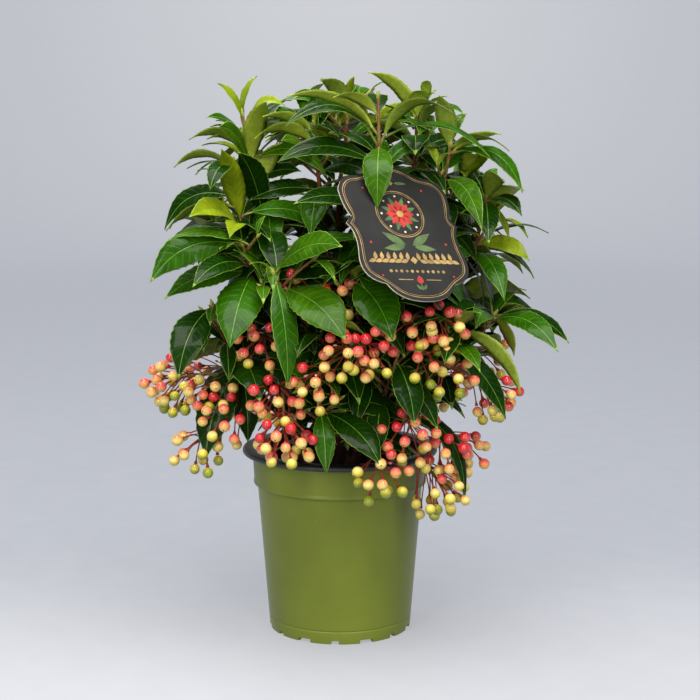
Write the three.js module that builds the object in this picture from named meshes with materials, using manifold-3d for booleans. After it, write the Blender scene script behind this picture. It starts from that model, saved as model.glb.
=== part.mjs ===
// A coral ardisia, a small evergreen shrub with hanging umbels of berries, in its pot.
// Millimetres, +Z up, the front towards -Y. The origin is on the ground, on the pot's axis.
import * as THREE from 'three';
import { mergeVertices } from 'three/addons/utils/BufferGeometryUtils.js';
import Module from 'manifold-3d';

const wasm = await Module();
wasm.setup();

// Clearances
const GAP = 0.3;
const TOUCH = 1e-4;

// The pot: a green outer pot with a collar, and the dark rim of the pot that stands in it
const POT = {
  footRadius: 47.3,
  wallRadius: 55.3,
  wallTop: 99,
  collarRadius: 57.4,
  collarBottom: 100.5,
  topRadius: 58.3,
  top: 118.6,
  wall: 1.6,
  floor: 5,
  recess: 2.5,
  padRadius: 12,
  groove: 8.5,
  grooveDepth: 0.5,
  facets: 32,
};
const NOTCHES = { count: 14, height: 2.4, narrow: 5, wide: 9, depth: 5 };
const RIM = { radius: 65, top: 123, bottom: 118.9, skirtFoot: 104, skirt: 1.2, facets: 30 };
const SOIL = 108;

// The label: a thin card with lobed edges, leaning back, hung from a shoot by an eye
const LABEL = {
  halfHeight: 48.5,
  thick: 0.9,
  yaw: 30,
  dip: 4.4,
  lean: 37,
  eyeAt: 0.66,
  eyeRadius: 4.2,
  neck: 4,
  reach: 5,
  stand: 3.1,
};
// Its outline from the dome at the top to the foot, one side: [pull, end] of each curve
const LABEL_SIDE = [
  [[12, 48.5], [20.5, 39.5]],
  [[34, 42], [38.6, 29]],
  [[38.5, 16], [34.6, 10]],
  [[36.5, 9.5], [39.6, 5]],
  [[34, 0], [36.5, -14]],
  [[42, -33], [24, -36.5]],
  [[18, -48.5], [0, -48.5]],
];

// Sizes of the plant's organs
const STEM = { flare: 5.6, foot: 4.2, tip: 2.1, sides: 8, steps: 6 };
const BOUGH = { foot: 2.0, tip: 1.5, sides: 6, steps: 4 };
const SHOOT = { foot: 2, tip: 1.5, sides: 3, steps: 3 };
const TWIG = { foot: 1.6, tip: 1.4, sides: 3, steps: 1, rise: 38, turn: 70, share: 0.45, least: 14 };
const LEAF = {
  length: 58,
  widthRatio: 0.44,
  broad: 1.25,
  thick: 0.95,
  petiole: 1.3,
  root: 0.2,
  stations: [0, 0.2, 0.57],
  outline: [0, 0.55, 1],
  crossing: { shown: 20, ruled: 2.3 },
  turns: [[0, 0], [12, 0], [-12, 0], [0, 12], [0, -12], [24, 6], [-24, 6], [0, 28], [40, 16], [-40, 16]],
};
const STALK = { foot: 1.3, tip: 1.1, sides: 4, steps: 3, arch: 0.12 };
const BERRY = { radius: 4.2, reach: 13, spread: 105, space: 7.9, rounds: 24, sag: 0.35, share: 4, along: 0.3 };
const PEDICEL = { radius: 0.75, sides: 3 };
const CROWN = { centre: [8, 0, 238], radii: [146, 124, 140], lowest: 132 };

// Stems: foot on the soil [x, y], then tip
const STEMS = {
  stem_left: [[-20, -8], [-47, -20, 268]],
  stem_mid: [[0, 8], [0, -5, 298]],
  stem_right: [[22, -2], [56, -8, 260]],
  stem_front: [[6, -22], [27, -48, 260]],
  stem_back: [[-4, 28], [-6, 52, 268]],
};

// Boughs: the stem that carries each, the place on it, and its tip
const BOUGHS = {
  bough_left_high: ['stem_left', 0.72, [-60, -32, 258]],
  bough_left_low: ['stem_left', 0.25, [-62, -38, 182]],
  bough_front_mid: ['stem_front', 0.5, [14, -56, 208]],
  bough_top_mid: ['stem_mid', 0.72, [-12, -20, 292]],
  bough_top_right: ['stem_mid', 0.62, [46, -12, 290]],
  bough_right_mid: ['stem_right', 0.6, [82, -14, 242]],
  bough_right_low: ['stem_right', 0.34, [80, -20, 192]],
  bough_right_front: ['stem_right', 0.22, [60, -44, 184]],
  bough_back_left: ['stem_back', 0.42, [-56, 40, 228]],
  bough_back_right: ['stem_back', 0.46, [52, 44, 236]],
  bough_back_low_left: ['stem_back', 0.16, [-52, 34, 166]],
  bough_back_low_right: ['stem_back', 0.2, [48, 44, 172]],
};

// Masses of foliage: the limb that carries each (and the place on it, where that is not its tip), the
// tip of its shoot, its number of side twigs and of leaves by rule, and the leaves that show most:
// [place on the shoot, heading, rise, length, width, arch, roll], in degrees and millimetres
const MASSES = {
  leaves_top_left: { on: 'stem_left', tip: [-62, -15, 341], twigs: 1, leaves: 6, show: [
    [0.95, 213, 55, 32, 9, 0.1, 0],
    [1, 20, 70, 28, 9, 0.1, 0],
    [0.6, 290, 54, 56, 15, 0.16, 10],
    [0.8, 229, 28, 40, 10, 0.15, 0],
    [0.7, 202, 18, 42, 10, 0.24, 0],
    [0.62, 250, 30, 56, 13, 0.12, -15],
  ] },
  leaves_left_high: { on: 'bough_left_high', tip: [-66, -42, 312], twigs: 1, leaves: 6, show: [
    [0.9, 180, 3, 38, 11, 0.22, 0],
    [0.8, 240, 4, 44, 13, 0.15, 0],
    [0.36, 267, 46, 66, 17, 0.14, 25],
    [0.6, 178, -17, 54, 16, 0.26, 0],
    [0.48, 205, -4, 48, 15, 0.2, 0],
    [0.26, 240, 6, 60, 17, 0.16, 0],
    [0.22, 268, 56, 60, 17, 0.14, -30],
  ] },
  leaves_left_mid: { on: 'stem_left', at: 0.76, tip: [-60, -58, 262], twigs: 1, leaves: 8, show: [
    [0.9, 200, -12, 64, 21, 0.2, 0],
    [0.6, 190, -5, 60, 18, 0.12, 10],
    [0.7, 236, -6, 58, 17, 0.14, 0],
    [0.6, 258, -34, 72, 27, 0.1, -12],
  ] },
  leaves_left_low: { on: 'bough_left_low', tip: [-80, -46, 222], twigs: 2, leaves: 8, show: [
    [0.95, 228, -38, 56, 21, 0.18, -15],
    [0.5, 276, -24, 44, 13, 0.12, 0],
    [0.25, 292, -22, 50, 24, 0.16, 0],
    [0.12, 240, -50, 58, 18, 0.16, 0],
  ] },
  leaves_front_left: { on: 'stem_front', at: 0.52, tip: [-40, -74, 246], twigs: 1, leaves: 9, show: [
    [0.95, 318, 20, 58, 21, 0.16, -8],
    [0.8, 312, -20, 66, 25, 0.1, 0],
    [0.62, 268, -48, 56, 18, 0.12, 0],
  ] },
  leaves_front_mid: { on: 'bough_front_mid', tip: [8, -70, 246], twigs: 1, leaves: 9, show: [
    [0.95, 298, -30, 54, 20, 0.14, 0],
    [0.8, 306, -36, 52, 17, 0.12, 10],
    [0.55, 262, -30, 48, 19, 0.16, 0],
  ] },
  leaves_top_mid: { on: 'bough_top_mid', tip: [-16, -28, 336], twigs: 1, leaves: 6, show: [
    [0.9, 207, 18, 38, 10, 0.12, 0],
    [0.75, 250, 2, 58, 13, 0.26, 0],
    [0.4, 270, -7, 64, 17, 0.2, 0],
    [0.35, 300, -2, 62, 20, 0.18, 0],
    [0.5, 246, 19, 54, 13, 0.1, 0],
  ] },
  leaves_top_centre: { on: 'stem_mid', tip: [6, -10, 352], twigs: 2, leaves: 9, show: [
    [0.95, 225, 34, 30, 9, 0.1, 0],
    [0.85, 206, 16, 44, 12, 0.18, 0],
    [1, 300, 66, 16, 6, 0.1, 0],
  ] },
  leaves_top_front: { on: 'stem_front', tip: [24, -60, 353], twigs: 0, leaves: 6, show: [
    [0.76, 267, -28, 48, 18, 0.26, 0],
    [0.74, 207, 12, 68, 14, 0.28, 0],
    [0.8, 186, 24, 62, 10, 0.16, 0],
    [0.9, 219, 20, 38, 9, 0.16, 0],
    [0.74, 326, 16, 62, 14, 0.3, 0],
    [0.78, 342, -8, 72, 14, 0.2, 0],
    [0.88, 232, 66, 40, 11, 0.16, 0],
    [0.3, 206, 8, 60, 22, 0.12, 0],
  ] },
  leaves_top_right: { on: 'bough_top_right', tip: [50, -15, 345], twigs: 1, leaves: 8, show: [
    [0.9, 273, 42, 30, 13, 0.2, 0],
    [0.95, 329, 32, 25, 9, 0.1, 0],
    [1, 146, 45, 14, 5, 0.1, 0],
    [0.8, 312, 16, 44, 15, 0.26, 0],
  ] },
  leaves_right_high: { on: 'stem_right', tip: [70, -35, 322], twigs: 1, leaves: 6, show: [
    [0.9, 328, -17, 58, 13, 0.24, 0],
    [0.8, 340, 33, 38, 12, 0.1, 0],
    [0.85, 310, 6, 50, 12, 0.16, 0],
    [0.6, 286, -15, 66, 16, 0.16, 15],
    [0.8, 250, 65, 48, 14, 0.12, 0],
  ] },
  leaves_right_mid: { on: 'bough_right_mid', tip: [94, -22, 290], twigs: 1, leaves: 6, show: [
    [0.95, 312, -12, 34, 12, 0.2, 0],
    [0.9, 268, -22, 56, 17, 0.12, 0],
    [0.65, 5, -16, 32, 11, 0.1, 0],
    [0.5, 300, -14, 54, 17, 0.16, 0],
    [0.45, 340, -28, 44, 14, 0.14, 0],
    [0.3, 286, -22, 62, 19, 0.16, 0],
  ] },
  leaves_right_low: { on: 'bough_right_low', tip: [99, -30, 214], twigs: 1, leaves: 7, show: [
    [0.8, 29, 44, 30, 10, 0.1, 0],
    [1, 337, -15, 52, 16, 0.16, 0],
    [0.9, 20, -10, 46, 15, 0.2, 0],
    [0.9, 308, -11, 62, 17, 0.16, 0],
    [0.9, 256, 4, 56, 15, 0.14, 0],
  ] },
  leaves_right_front: { on: 'bough_right_front', tip: [74, -62, 212], twigs: 1, leaves: 7, show: [
    [0.9, 292, 26, 38, 14, 0.14, 0],
    [0.9, 332, -38, 60, 16, 0.2, 15],
    [0.6, 328, -46, 58, 17, 0.1, 0],
    [0.6, 290, -10, 48, 14, 0.14, 0],
    [0.9, 258, -16, 46, 13, 0.1, 0],
  ] },
  leaves_front_low: { on: 'stem_front', at: 0.26, tip: [36, -78, 196], twigs: 1, leaves: 7, show: [
    [0.95, 292, -50, 44, 20, 0.12, 0],
    [0.8, 322, -40, 46, 16, 0.12, 0],
    [0.4, 345, -42, 74, 17, 0.24, 0],
    [0.5, 250, -34, 40, 14, 0.1, 0],
  ] },
  leaves_rim_front: { on: 'stem_front', at: 0.12, tip: [-12, -72, 162], twigs: 1, leaves: 6, show: [
    [0.95, 318, -28, 56, 23, 0.12, 0],
    [0.7, 338, -14, 44, 16, 0.1, 0],
    [0.6, 285, 30, 42, 12, 0.12, 0],
    [0.9, 272, -44, 36, 13, 0.14, 0],
  ] },
  leaves_back_left: { on: 'bough_back_left', tip: [-80, 48, 282], twigs: 2, leaves: 15, show: [] },
  leaves_back_top: { on: 'stem_back', tip: [-8, 52, 338], twigs: 2, leaves: 16, show: [] },
  leaves_back_right: { on: 'bough_back_right', tip: [72, 52, 296], twigs: 2, leaves: 15, show: [] },
  leaves_back_low_left: { on: 'bough_back_low_left', tip: [-82, 44, 206], twigs: 2, leaves: 12, show: [] },
  leaves_back_low_right: { on: 'bough_back_low_right', tip: [78, 58, 212], twigs: 2, leaves: 12, show: [] },
  leaves_back_mid: { on: 'stem_back', at: 0.45, tip: [2, 92, 240], twigs: 2, leaves: 14, show: [] },
};

// Fruit: the limb and the place on it that carry each stalk, then each umbel: its centre and its berries
const FRUIT = {
  fruit_left_far: ['stem_left', 0.34, [[-106, -30, 173], 22], [[-82, -46, 171], 14]],
  fruit_left: ['stem_left', 0.2, [[-73, -56, 155], 16], [[-92, -52, 132], 10]],
  fruit_front_left: ['stem_left', 0.42, [[-39, -76, 174], 18], [[-27, -88, 152], 18]],
  fruit_inner_left: ['stem_left', 0.6, [[-49, -66, 204], 12]],
  fruit_under_leaves: ['stem_front', 0.72, [[-18, -88, 244], 10], [[0, -88, 242], 8]],
  fruit_centre: ['stem_front', 0.42, [[4, -94, 203], 14], [[18, -96, 206], 10], [[-14, -90, 184], 10]],
  fruit_right: ['stem_right', 0.62, [[62, -76, 218], 14], [[44, -82, 217], 8]],
  fruit_right_low: ['stem_right', 0.26, [[55, -82, 198], 10], [[70, -72, 187], 8], [[97, -50, 170], 14]],
  fruit_rim_right: ['stem_right', 0.16, [[45, -78, 152], 16], [[67, -64, 138], 14], [[80, -46, 134], 10]],
  fruit_over_rim: ['stem_front', 0.14, [[26, -86, 127], 12]],
  fruit_hanging: ['stem_front', 0.3, [[63, -60, 112], 20]],
  fruit_back_left: ['stem_back', 0.2, [[-92, 40, 168], 18], [[-66, 62, 146], 14]],
  fruit_back_mid: ['stem_back', 0.3, [[-22, 98, 172], 18], [[14, 102, 150], 16]],
  fruit_back_right: ['stem_back', 0.24, [[72, 68, 158], 18], [[98, 34, 180], 14]],
};

const AROUND = 360;
const GOLDEN_TURN = 137.5;
const GOLDEN_PART = 0.618;
const radians = THREE.MathUtils.degToRad;
const mix = THREE.MathUtils.lerp;
const part = (value) => value - Math.floor(value);
const vector = (values) => new THREE.Vector3(...values);
const UP = vector([0, 0, 1]);

// An even spread of numbers from 0 to 1, fixed by two whole numbers
function chance(seed, count) {
  return part(Math.sin(seed * 12.9 + count * 78.2) * 4375.5);
}

// A unit vector from a heading, counted from +X towards +Y, and a rise above the level
function bearing(heading, rise) {
  const level = Math.cos(radians(rise));
  const turn = radians(heading);
  return vector([level * Math.cos(turn), level * Math.sin(turn), Math.sin(radians(rise))]);
}

// A limb's curve, which leaves sideways and turns up towards its tip
function rising(foot, tip) {
  const elbow = vector([mix(foot.x, tip.x, 0.6), mix(foot.y, tip.y, 0.6), mix(foot.z, tip.z, 0.35)]);
  return new THREE.QuadraticBezierCurve3(foot, elbow, tip);
}

// A closed skin over rings of points, each ring turning left as seen from the tip. A ring of one point
// closes an end in a point; other ends are flat.
function skin(rings) {
  const positions = rings.flat().flatMap((point) => point.toArray());
  const faces = [];
  const starts = [];
  let count = 0;
  for (const ring of rings) {
    starts.push(count);
    count += ring.length;
  }
  for (let i = 0; i + 1 < rings.length; i += 1) {
    const sides = rings[i].length;
    for (let j = 0; j < sides; j += 1) {
      const k = (j + 1) % sides;
      const near = [starts[i] + j, starts[i] + k];
      if (rings[i + 1].length === 1) {
        faces.push(near[0], near[1], starts[i + 1]);
      } else {
        faces.push(near[0], near[1], starts[i + 1] + k);
        faces.push(near[0], starts[i + 1] + k, starts[i + 1] + j);
      }
    }
  }
  const last = rings.length - 1;
  for (let j = 1; j + 1 < rings[0].length; j += 1) {
    faces.push(starts[0], starts[0] + j + 1, starts[0] + j);
  }
  for (let j = 1; j + 1 < rings[last].length; j += 1) {
    faces.push(starts[last], starts[last] + j, starts[last] + j + 1);
  }
  const geometry = new THREE.BufferGeometry();
  geometry.setAttribute('position', new THREE.Float32BufferAttribute(positions, 3));
  geometry.setIndex(faces);
  return geometry;
}

// A closed geometry as a solid that can be joined and cut
function solid(geometry) {
  const bare = geometry.clone();
  bare.deleteAttribute('normal');
  bare.deleteAttribute('uv');
  const merged = mergeVertices(bare, TOUCH);
  return new wasm.Manifold(new wasm.Mesh({
    numProp: 3,
    vertProperties: new Float32Array(merged.attributes.position.array),
    triVerts: new Uint32Array(merged.index.array),
  }));
}

// One body from several: joined, with loose scraps and sealed hollows left out
function fuse(solids) {
  const joined = solids.reduce((sum, next) => sum.add(next));
  return joined.decompose().reduce((best, next) => (next.volume() > best.volume() ? next : best));
}

function geometryOf(body) {
  const { numProp, vertProperties, triVerts } = body.getMesh();
  const geometry = new THREE.BufferGeometry();
  const points = new Float32Array((vertProperties.length / numProp) * 3);
  for (let i = 0; i < points.length / 3; i += 1) {
    points.set(vertProperties.subarray(i * numProp, i * numProp + 3), i * 3);
  }
  geometry.setAttribute('position', new THREE.BufferAttribute(points, 3));
  geometry.setIndex(new THREE.BufferAttribute(new Uint32Array(triVerts), 1));
  geometry.computeVertexNormals();
  return geometry;
}

// A ring of points about a centre, square to a direction
function ring(centre, direction, radius, sides, start = 0) {
  const side = Math.abs(direction.y) < 0.9 ? vector([0, 1, 0]) : vector([1, 0, 0]);
  const across = side.cross(direction).normalize();
  const along = direction.clone().normalize().cross(across);
  return Array.from({ length: sides }, (_, i) => {
    const turn = radians(start + (i * AROUND) / sides);
    return centre.clone()
      .addScaledVector(across, radius * Math.cos(turn))
      .addScaledVector(along, radius * Math.sin(turn));
  });
}

// A tapering limb along a curve; its foot is square to the direction of what it grows from
function limb(curve, size, footDirection) {
  const rings = [];
  for (let i = 0; i <= size.steps; i += 1) {
    const t = i / size.steps;
    const direction = i === 0 && footDirection ? footDirection : curve.getTangent(t);
    rings.push(ring(curve.getPoint(t), direction, mix(size.foot, size.tip, t), size.sides));
  }
  return skin(rings);
}

// Everything built so far, with its owner, so that pieces of different owners stay clear
const built = [];

function keep(owner, body) {
  built.push({ owner, body, box: body.boundingBox() });
}

function apart(a, b) {
  return [0, 1, 2].some((i) => a.min[i] > b.max[i] || b.min[i] > a.max[i]);
}

// Whether a body touches nothing of another owner, and crosses its own owner's pieces by no more than
// a small volume, such as a root's
function isClear(owner, body, crossing = Infinity) {
  const box = body.boundingBox();
  return built.every((other) => {
    if (apart(box, other.box)) {
      return true;
    }
    const shared = body.intersect(other.body);
    return other.owner === owner ? shared.volume() < crossing : shared.isEmpty();
  });
}

const plant = new THREE.Group();

function place(name, geometry, material) {
  const mesh = new THREE.Mesh(geometry, material);
  mesh.name = name;
  plant.add(mesh);
}

const finish = (color, roughness) => new THREE.MeshStandardMaterial({ color, roughness, metalness: 0 });
const FINISH = {
  pot: finish(0x6d7d37, 0.42),
  rim: finish(0x26282a, 0.38),
  soil: finish(0x2a211a, 0.95),
  label: finish(0x3a3a3c, 0.6),
  stem: finish(0x5a3b28, 0.75),
  leaf: finish(0x2f6a1e, 0.35),
  fruit: finish(0xd9493c, 0.25),
};

function turned(profile, facets) {
  const points = profile.map(([radius, height]) => new THREE.Vector2(radius, height));
  return new THREE.LatheGeometry([...points, points[0]], facets).rotateX(Math.PI / 2);
}

function potBody() {
  const inner = (radius) => radius - POT.wall;
  const atGroove = mix(POT.footRadius, POT.wallRadius, POT.groove / POT.wallTop);
  const shell = solid(turned([
    [0, 0],
    [POT.padRadius, 0],
    [POT.padRadius + 1, POT.recess],
    [POT.footRadius - 4, POT.recess],
    [POT.footRadius - 3, 0],
    [POT.footRadius, 0],
    [atGroove, POT.groove - 1],
    [atGroove - POT.grooveDepth, POT.groove],
    [atGroove + 0.1, POT.groove + 1],
    [POT.wallRadius, POT.wallTop],
    [POT.collarRadius, POT.collarBottom],
    [POT.topRadius, POT.top],
    [inner(POT.topRadius), POT.top],
    [inner(POT.collarRadius), POT.collarBottom],
    [inner(POT.wallRadius), POT.wallTop - 1],
    [inner(POT.footRadius) + 0.3, POT.floor],
    [0, POT.floor],
  ], POT.facets));
  let body = shell;
  for (let i = 0; i < NOTCHES.count; i += 1) {
    const width = i % 2 ? NOTCHES.wide : NOTCHES.narrow;
    const cutter = new THREE.BoxGeometry(NOTCHES.depth, width, NOTCHES.height * 2);
    cutter.translate(POT.footRadius - 0.5, 0, 0);
    cutter.rotateZ(radians(((i + 0.35) * AROUND) / NOTCHES.count));
    body = body.subtract(solid(cutter));
  }
  return body;
}

function rimBody() {
  const outer = POT.topRadius - POT.wall - GAP;
  const foot = outer - 0.8;
  return solid(turned([
    [foot - RIM.skirt, RIM.skirtFoot],
    [foot, RIM.skirtFoot],
    [outer, RIM.bottom],
    [RIM.radius - 1.2, RIM.bottom],
    [RIM.radius, RIM.bottom + 1],
    [RIM.radius, RIM.top - 1.4],
    [RIM.radius - 1.2, RIM.top - 0.3],
    [RIM.radius - 5, RIM.top],
    [outer, RIM.top - 0.4],
    [outer - RIM.skirt, RIM.top - 2],
  ], RIM.facets));
}

function soilBody() {
  const wall = POT.wall + GAP;
  const skirt = POT.topRadius - POT.wall - GAP - 0.8 - RIM.skirt - GAP;
  return solid(turned([
    [0, POT.floor + GAP],
    [POT.footRadius - wall, POT.floor + GAP],
    [POT.wallRadius - wall - GAP, POT.wallTop - 2],
    [skirt - GAP, RIM.skirtFoot],
    [skirt, SOIL],
    [0, SOIL],
  ], RIM.facets));
}

place('pot_wall', geometryOf(potBody()), FINISH.pot);
place('pot_rim', geometryOf(rimBody()), FINISH.rim);
place('soil', geometryOf(soilBody()), FINISH.soil);
keep('pot_wall', potBody());
keep('pot_rim', rimBody());
keep('soil', soilBody());

// Stems and boughs, with the curve and the sizes that what grows on them starts from
const limbs = {};

function stemGeometry(curve) {
  const rings = [];
  for (let i = 0; i <= STEM.steps; i += 1) {
    const t = i / STEM.steps;
    const taper = mix(STEM.foot, STEM.tip, t) + (STEM.flare - STEM.foot) * (1 - t) ** 8;
    rings.push(ring(curve.getPoint(t), i === 0 ? UP : curve.getTangent(t), taper, STEM.sides));
  }
  return skin(rings);
}

for (const [name, [foot, tip]] of Object.entries(STEMS)) {
  const curve = rising(vector([...foot, SOIL + GAP]), vector(tip));
  const geometry = stemGeometry(curve);
  limbs[name] = { curve, size: STEM };
  place(name, geometry, FINISH.stem);
  keep(name, solid(geometry));
}

// Where a limb of a given radius, on its way to a tip, stands clear of the limb that carries it
function sideRoot(carrier, at, tip, radius) {
  const point = carrier.curve.getPoint(at);
  const along = carrier.curve.getTangent(at);
  const away = rising(point, tip).getTangent(0);
  const lean = away.angleTo(along);
  const girth = mix(carrier.size.foot, carrier.size.tip, at);
  const out = (girth + GAP + radius * Math.abs(Math.cos(lean))) / Math.sin(lean);
  return point.addScaledVector(away, out);
}

function tipRoot(carrier) {
  const along = carrier.curve.getTangent(1);
  return { root: carrier.curve.getPoint(1).addScaledVector(along, GAP), along };
}

for (const [name, [on, at, tip]] of Object.entries(BOUGHS)) {
  const root = sideRoot(limbs[on], at, vector(tip), BOUGH.foot);
  const curve = rising(root, vector(tip));
  const geometry = limb(curve, BOUGH);
  limbs[name] = { curve, size: BOUGH };
  place(name, geometry, FINISH.stem);
  keep(name, solid(geometry));
}

// The shoot of each mass, which everything in the mass grows from
const shoots = {};
for (const [name, mass] of Object.entries(MASSES)) {
  const carrier = limbs[mass.on];
  const tip = vector(mass.tip);
  const start = mass.at
    ? { root: sideRoot(carrier, mass.at, tip, SHOOT.foot) }
    : tipRoot(carrier);
  const curve = rising(start.root, tip);
  shoots[name] = { curve, body: solid(limb(curve, SHOOT, start.along)) };
  keep(name, shoots[name].body);
}

// The label's outline: a dome, two shoulders, a waist with a spur and a lobed foot, alike on both sides
function labelShape() {
  const shape = new THREE.Shape();
  shape.moveTo(0, LABEL.halfHeight);
  for (const [pull, end] of LABEL_SIDE) {
    shape.quadraticCurveTo(...pull, ...end);
  }
  const ends = [[0, LABEL.halfHeight], ...LABEL_SIDE.map(([, end]) => end)];
  for (let i = LABEL_SIDE.length - 1; i >= 0; i -= 1) {
    const [pull] = LABEL_SIDE[i];
    shape.quadraticCurveTo(-pull[0], pull[1], -ends[i][0], ends[i][1]);
  }
  return shape;
}

function labelBody() {
  const { curve } = shoots.leaves_top_front;
  const eye = curve.getPoint(LABEL.eyeAt);
  const along = curve.getTangent(LABEL.eyeAt);
  const across = bearing(LABEL.yaw, -LABEL.dip);
  const level = across.clone().cross(UP).normalize();
  const up = level.clone().cross(across).applyAxisAngle(across, -radians(LABEL.lean));
  const face = across.clone().cross(up);
  const top = eye.clone().addScaledVector(level, LABEL.stand);
  const centre = top.clone().addScaledVector(up, -LABEL.halfHeight - LABEL.reach);
  const turn = new THREE.Matrix4().makeBasis(across, up, face).setPosition(centre);
  const settings = { depth: LABEL.thick, bevelEnabled: false, curveSegments: 4 };
  const card = new THREE.ExtrudeGeometry(labelShape(), settings).applyMatrix4(turn);
  const neck = new THREE.BoxGeometry(LABEL.neck, LABEL.reach + 2, LABEL.thick);
  neck.translate(0, LABEL.halfHeight + LABEL.reach / 2, LABEL.thick / 2).applyMatrix4(turn);
  const hole = mix(SHOOT.foot, SHOOT.tip, LABEL.eyeAt) + GAP;
  const eyeRing = new THREE.Shape().absarc(0, 0, LABEL.eyeRadius, 0, 2 * Math.PI);
  eyeRing.holes.push(new THREE.Path().absarc(0, 0, hole, 0, 2 * Math.PI, true));
  const eyeGeometry = new THREE.ExtrudeGeometry(eyeRing, { ...settings, curveSegments: 5 });
  const spin = new THREE.Quaternion().setFromUnitVectors(UP, along);
  eyeGeometry.applyQuaternion(spin).translate(...eye.toArray());
  return fuse([solid(card), solid(neck), solid(eyeGeometry)]);
}

const labelCard = labelBody();
keep('label_card', labelCard);
place('label_card', geometryOf(labelCard), FINISH.label);

// A berry's places round an umbel's centre: even directions inside a cone about the stalk's own, a
// little drawn down by weight, then pushed apart until no two berries touch
function umbel(centre, axis, count, seed) {
  const across = UP.clone().cross(axis).normalize();
  const along = axis.clone().cross(across);
  const spots = Array.from({ length: count }, (_, i) => {
    const opening = Math.acos(1 - ((i + 0.5) / count) * (1 - Math.cos(radians(BERRY.spread))));
    const turn = radians(i * GOLDEN_TURN + AROUND * chance(seed, 0));
    const reach = (BERRY.reach + count * 0.25) * (0.78 + 0.35 * chance(seed, i + 1));
    const spot = centre.clone()
      .addScaledVector(axis, reach * Math.cos(opening))
      .addScaledVector(across, reach * Math.sin(opening) * Math.cos(turn))
      .addScaledVector(along, reach * Math.sin(opening) * Math.sin(turn));
    spot.z -= BERRY.sag * reach * (1 - Math.abs(Math.cos(opening)) * 0.5);
    return spot;
  });
  for (let round = 0; round < BERRY.rounds; round += 1) {
    const moves = spots.map(() => vector([0, 0, 0]));
    spots.forEach((a, i) => spots.forEach((b, j) => {
      const between = a.distanceTo(b);
      if (i !== j && between < BERRY.space) {
        const push = (0.5 * (BERRY.space - between)) / Math.max(between, TOUCH);
        moves[i].addScaledVector(a.clone().sub(b), push);
      }
    }));
    spots.forEach((spot, i) => spot.add(moves[i]));
  }
  return spots;
}

// A berry on its pedicel in one skin: the pedicel's two ends, two rings round the berry, its far point
function berryOn(root, spot) {
  const way = spot.clone().sub(root).normalize();
  const about = (along, radius, start = 0) => (
    ring(spot.clone().addScaledVector(way, along), way, radius, PEDICEL.sides, start)
  );
  const r = BERRY.radius;
  return solid(skin([
    ring(root, way, PEDICEL.radius, PEDICEL.sides),
    about(-0.96 * r, PEDICEL.radius),
    about(-0.34 * r, 1.1 * r),
    about(0.42 * r, 1.05 * r, AROUND / (2 * PEDICEL.sides)),
    [spot.clone().addScaledVector(way, r)],
  ]));
}

// A stalk that leaves its carrier, arches over and comes down into its umbel
function arching(root, tip) {
  const span = root.distanceTo(tip);
  const top = root.clone().lerp(tip, 0.5);
  top.z += 2 * STALK.arch * span;
  return new THREE.QuadraticBezierCurve3(root, top, tip);
}

const fruits = Object.entries(FRUIT).map(([name, [on, at, ...umbels]], number) => {
  const carrier = limbs[on];
  const first = vector(umbels[0][0]);
  const point = carrier.curve.getPoint(at);
  const away = arching(point, first).getTangent(0);
  const lean = away.angleTo(carrier.curve.getTangent(at));
  const girth = mix(STEM.foot, STEM.tip, at);
  const out = (girth + GAP + STALK.foot * Math.abs(Math.cos(lean))) / Math.sin(lean);
  const main = arching(point.clone().addScaledVector(away, out), first);
  const stalks = umbels.map(([spot], k) => (k === 0 ? main : arching(main.getPoint(0.55), vector(spot))));
  const bodies = stalks.map((stalk) => solid(limb(stalk, STALK)));
  bodies.forEach((body) => keep(name, body));
  return { name, number, umbels, stalks, bodies };
});

// A leaf: three corners a section, flat above and keeled below, along an arch from its foot to its tip.
// With a margin it is a little larger all round, to find what it would touch.
function leafGeometry(foot, [heading, rise, length, width, arch, roll], margin) {
  const chord = bearing(heading, rise);
  const lift = bearing(heading, rise + 90);
  const tip = foot.clone().addScaledVector(chord, length + margin);
  const top = foot.clone().addScaledVector(chord, length / 2).addScaledVector(lift, 2 * arch * length);
  const curve = new THREE.QuadraticBezierCurve3(foot, top, tip);
  const rings = LEAF.stations.map((t, i) => {
    const tangent = curve.getTangent(t);
    const side = bearing(heading + 90, 0).applyAxisAngle(tangent, radians(roll));
    const above = tangent.clone().cross(side);
    const half = Math.max(width * LEAF.broad * LEAF.outline[i], LEAF.petiole) / 2 + margin;
    const centre = curve.getPoint(t).addScaledVector(above, margin);
    return [
      centre.clone().addScaledVector(side, half),
      centre.clone().addScaledVector(side, -half),
      centre.clone().addScaledVector(above, -LEAF.thick - 2 * margin),
    ];
  });
  return skin([...rings, [tip]]);
}

function inCrown(point) {
  const reach = CROWN.centre.reduce((sum, c, i) => (
    sum + ((point.getComponent(i) - c) / CROWN.radii[i]) ** 2
  ), 0);
  return reach < 1 && point.z > CROWN.lowest;
}

// The axes of a mass: its shoot, then side twigs that leave it to either side
function axesOf(name, mass, seed) {
  const { curve } = shoots[name];
  const [x, y] = mass.tip;
  const outward = THREE.MathUtils.radToDeg(Math.atan2(y, x));
  const length = Math.max(TWIG.share * curve.getLength(), TWIG.least);
  const twigs = Array.from({ length: mass.twigs }, (_, i) => {
    const foot = curve.getPoint(0.4 + 0.25 * i);
    const turn = (i % 2 ? -TWIG.turn : TWIG.turn) + 30 * (chance(seed, i) - 0.5);
    const tip = foot.clone().addScaledVector(bearing(outward + turn, TWIG.rise), length);
    return new THREE.LineCurve3(foot, tip);
  });
  return { outward, axes: [curve, ...twigs] };
}

// A leaf's foot lies a little way out from its twig's axis
function leafAt(axis, at, row) {
  return { foot: axis.getPoint(at).addScaledVector(bearing(row[0], row[1]), LEAF.root), row };
}

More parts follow.
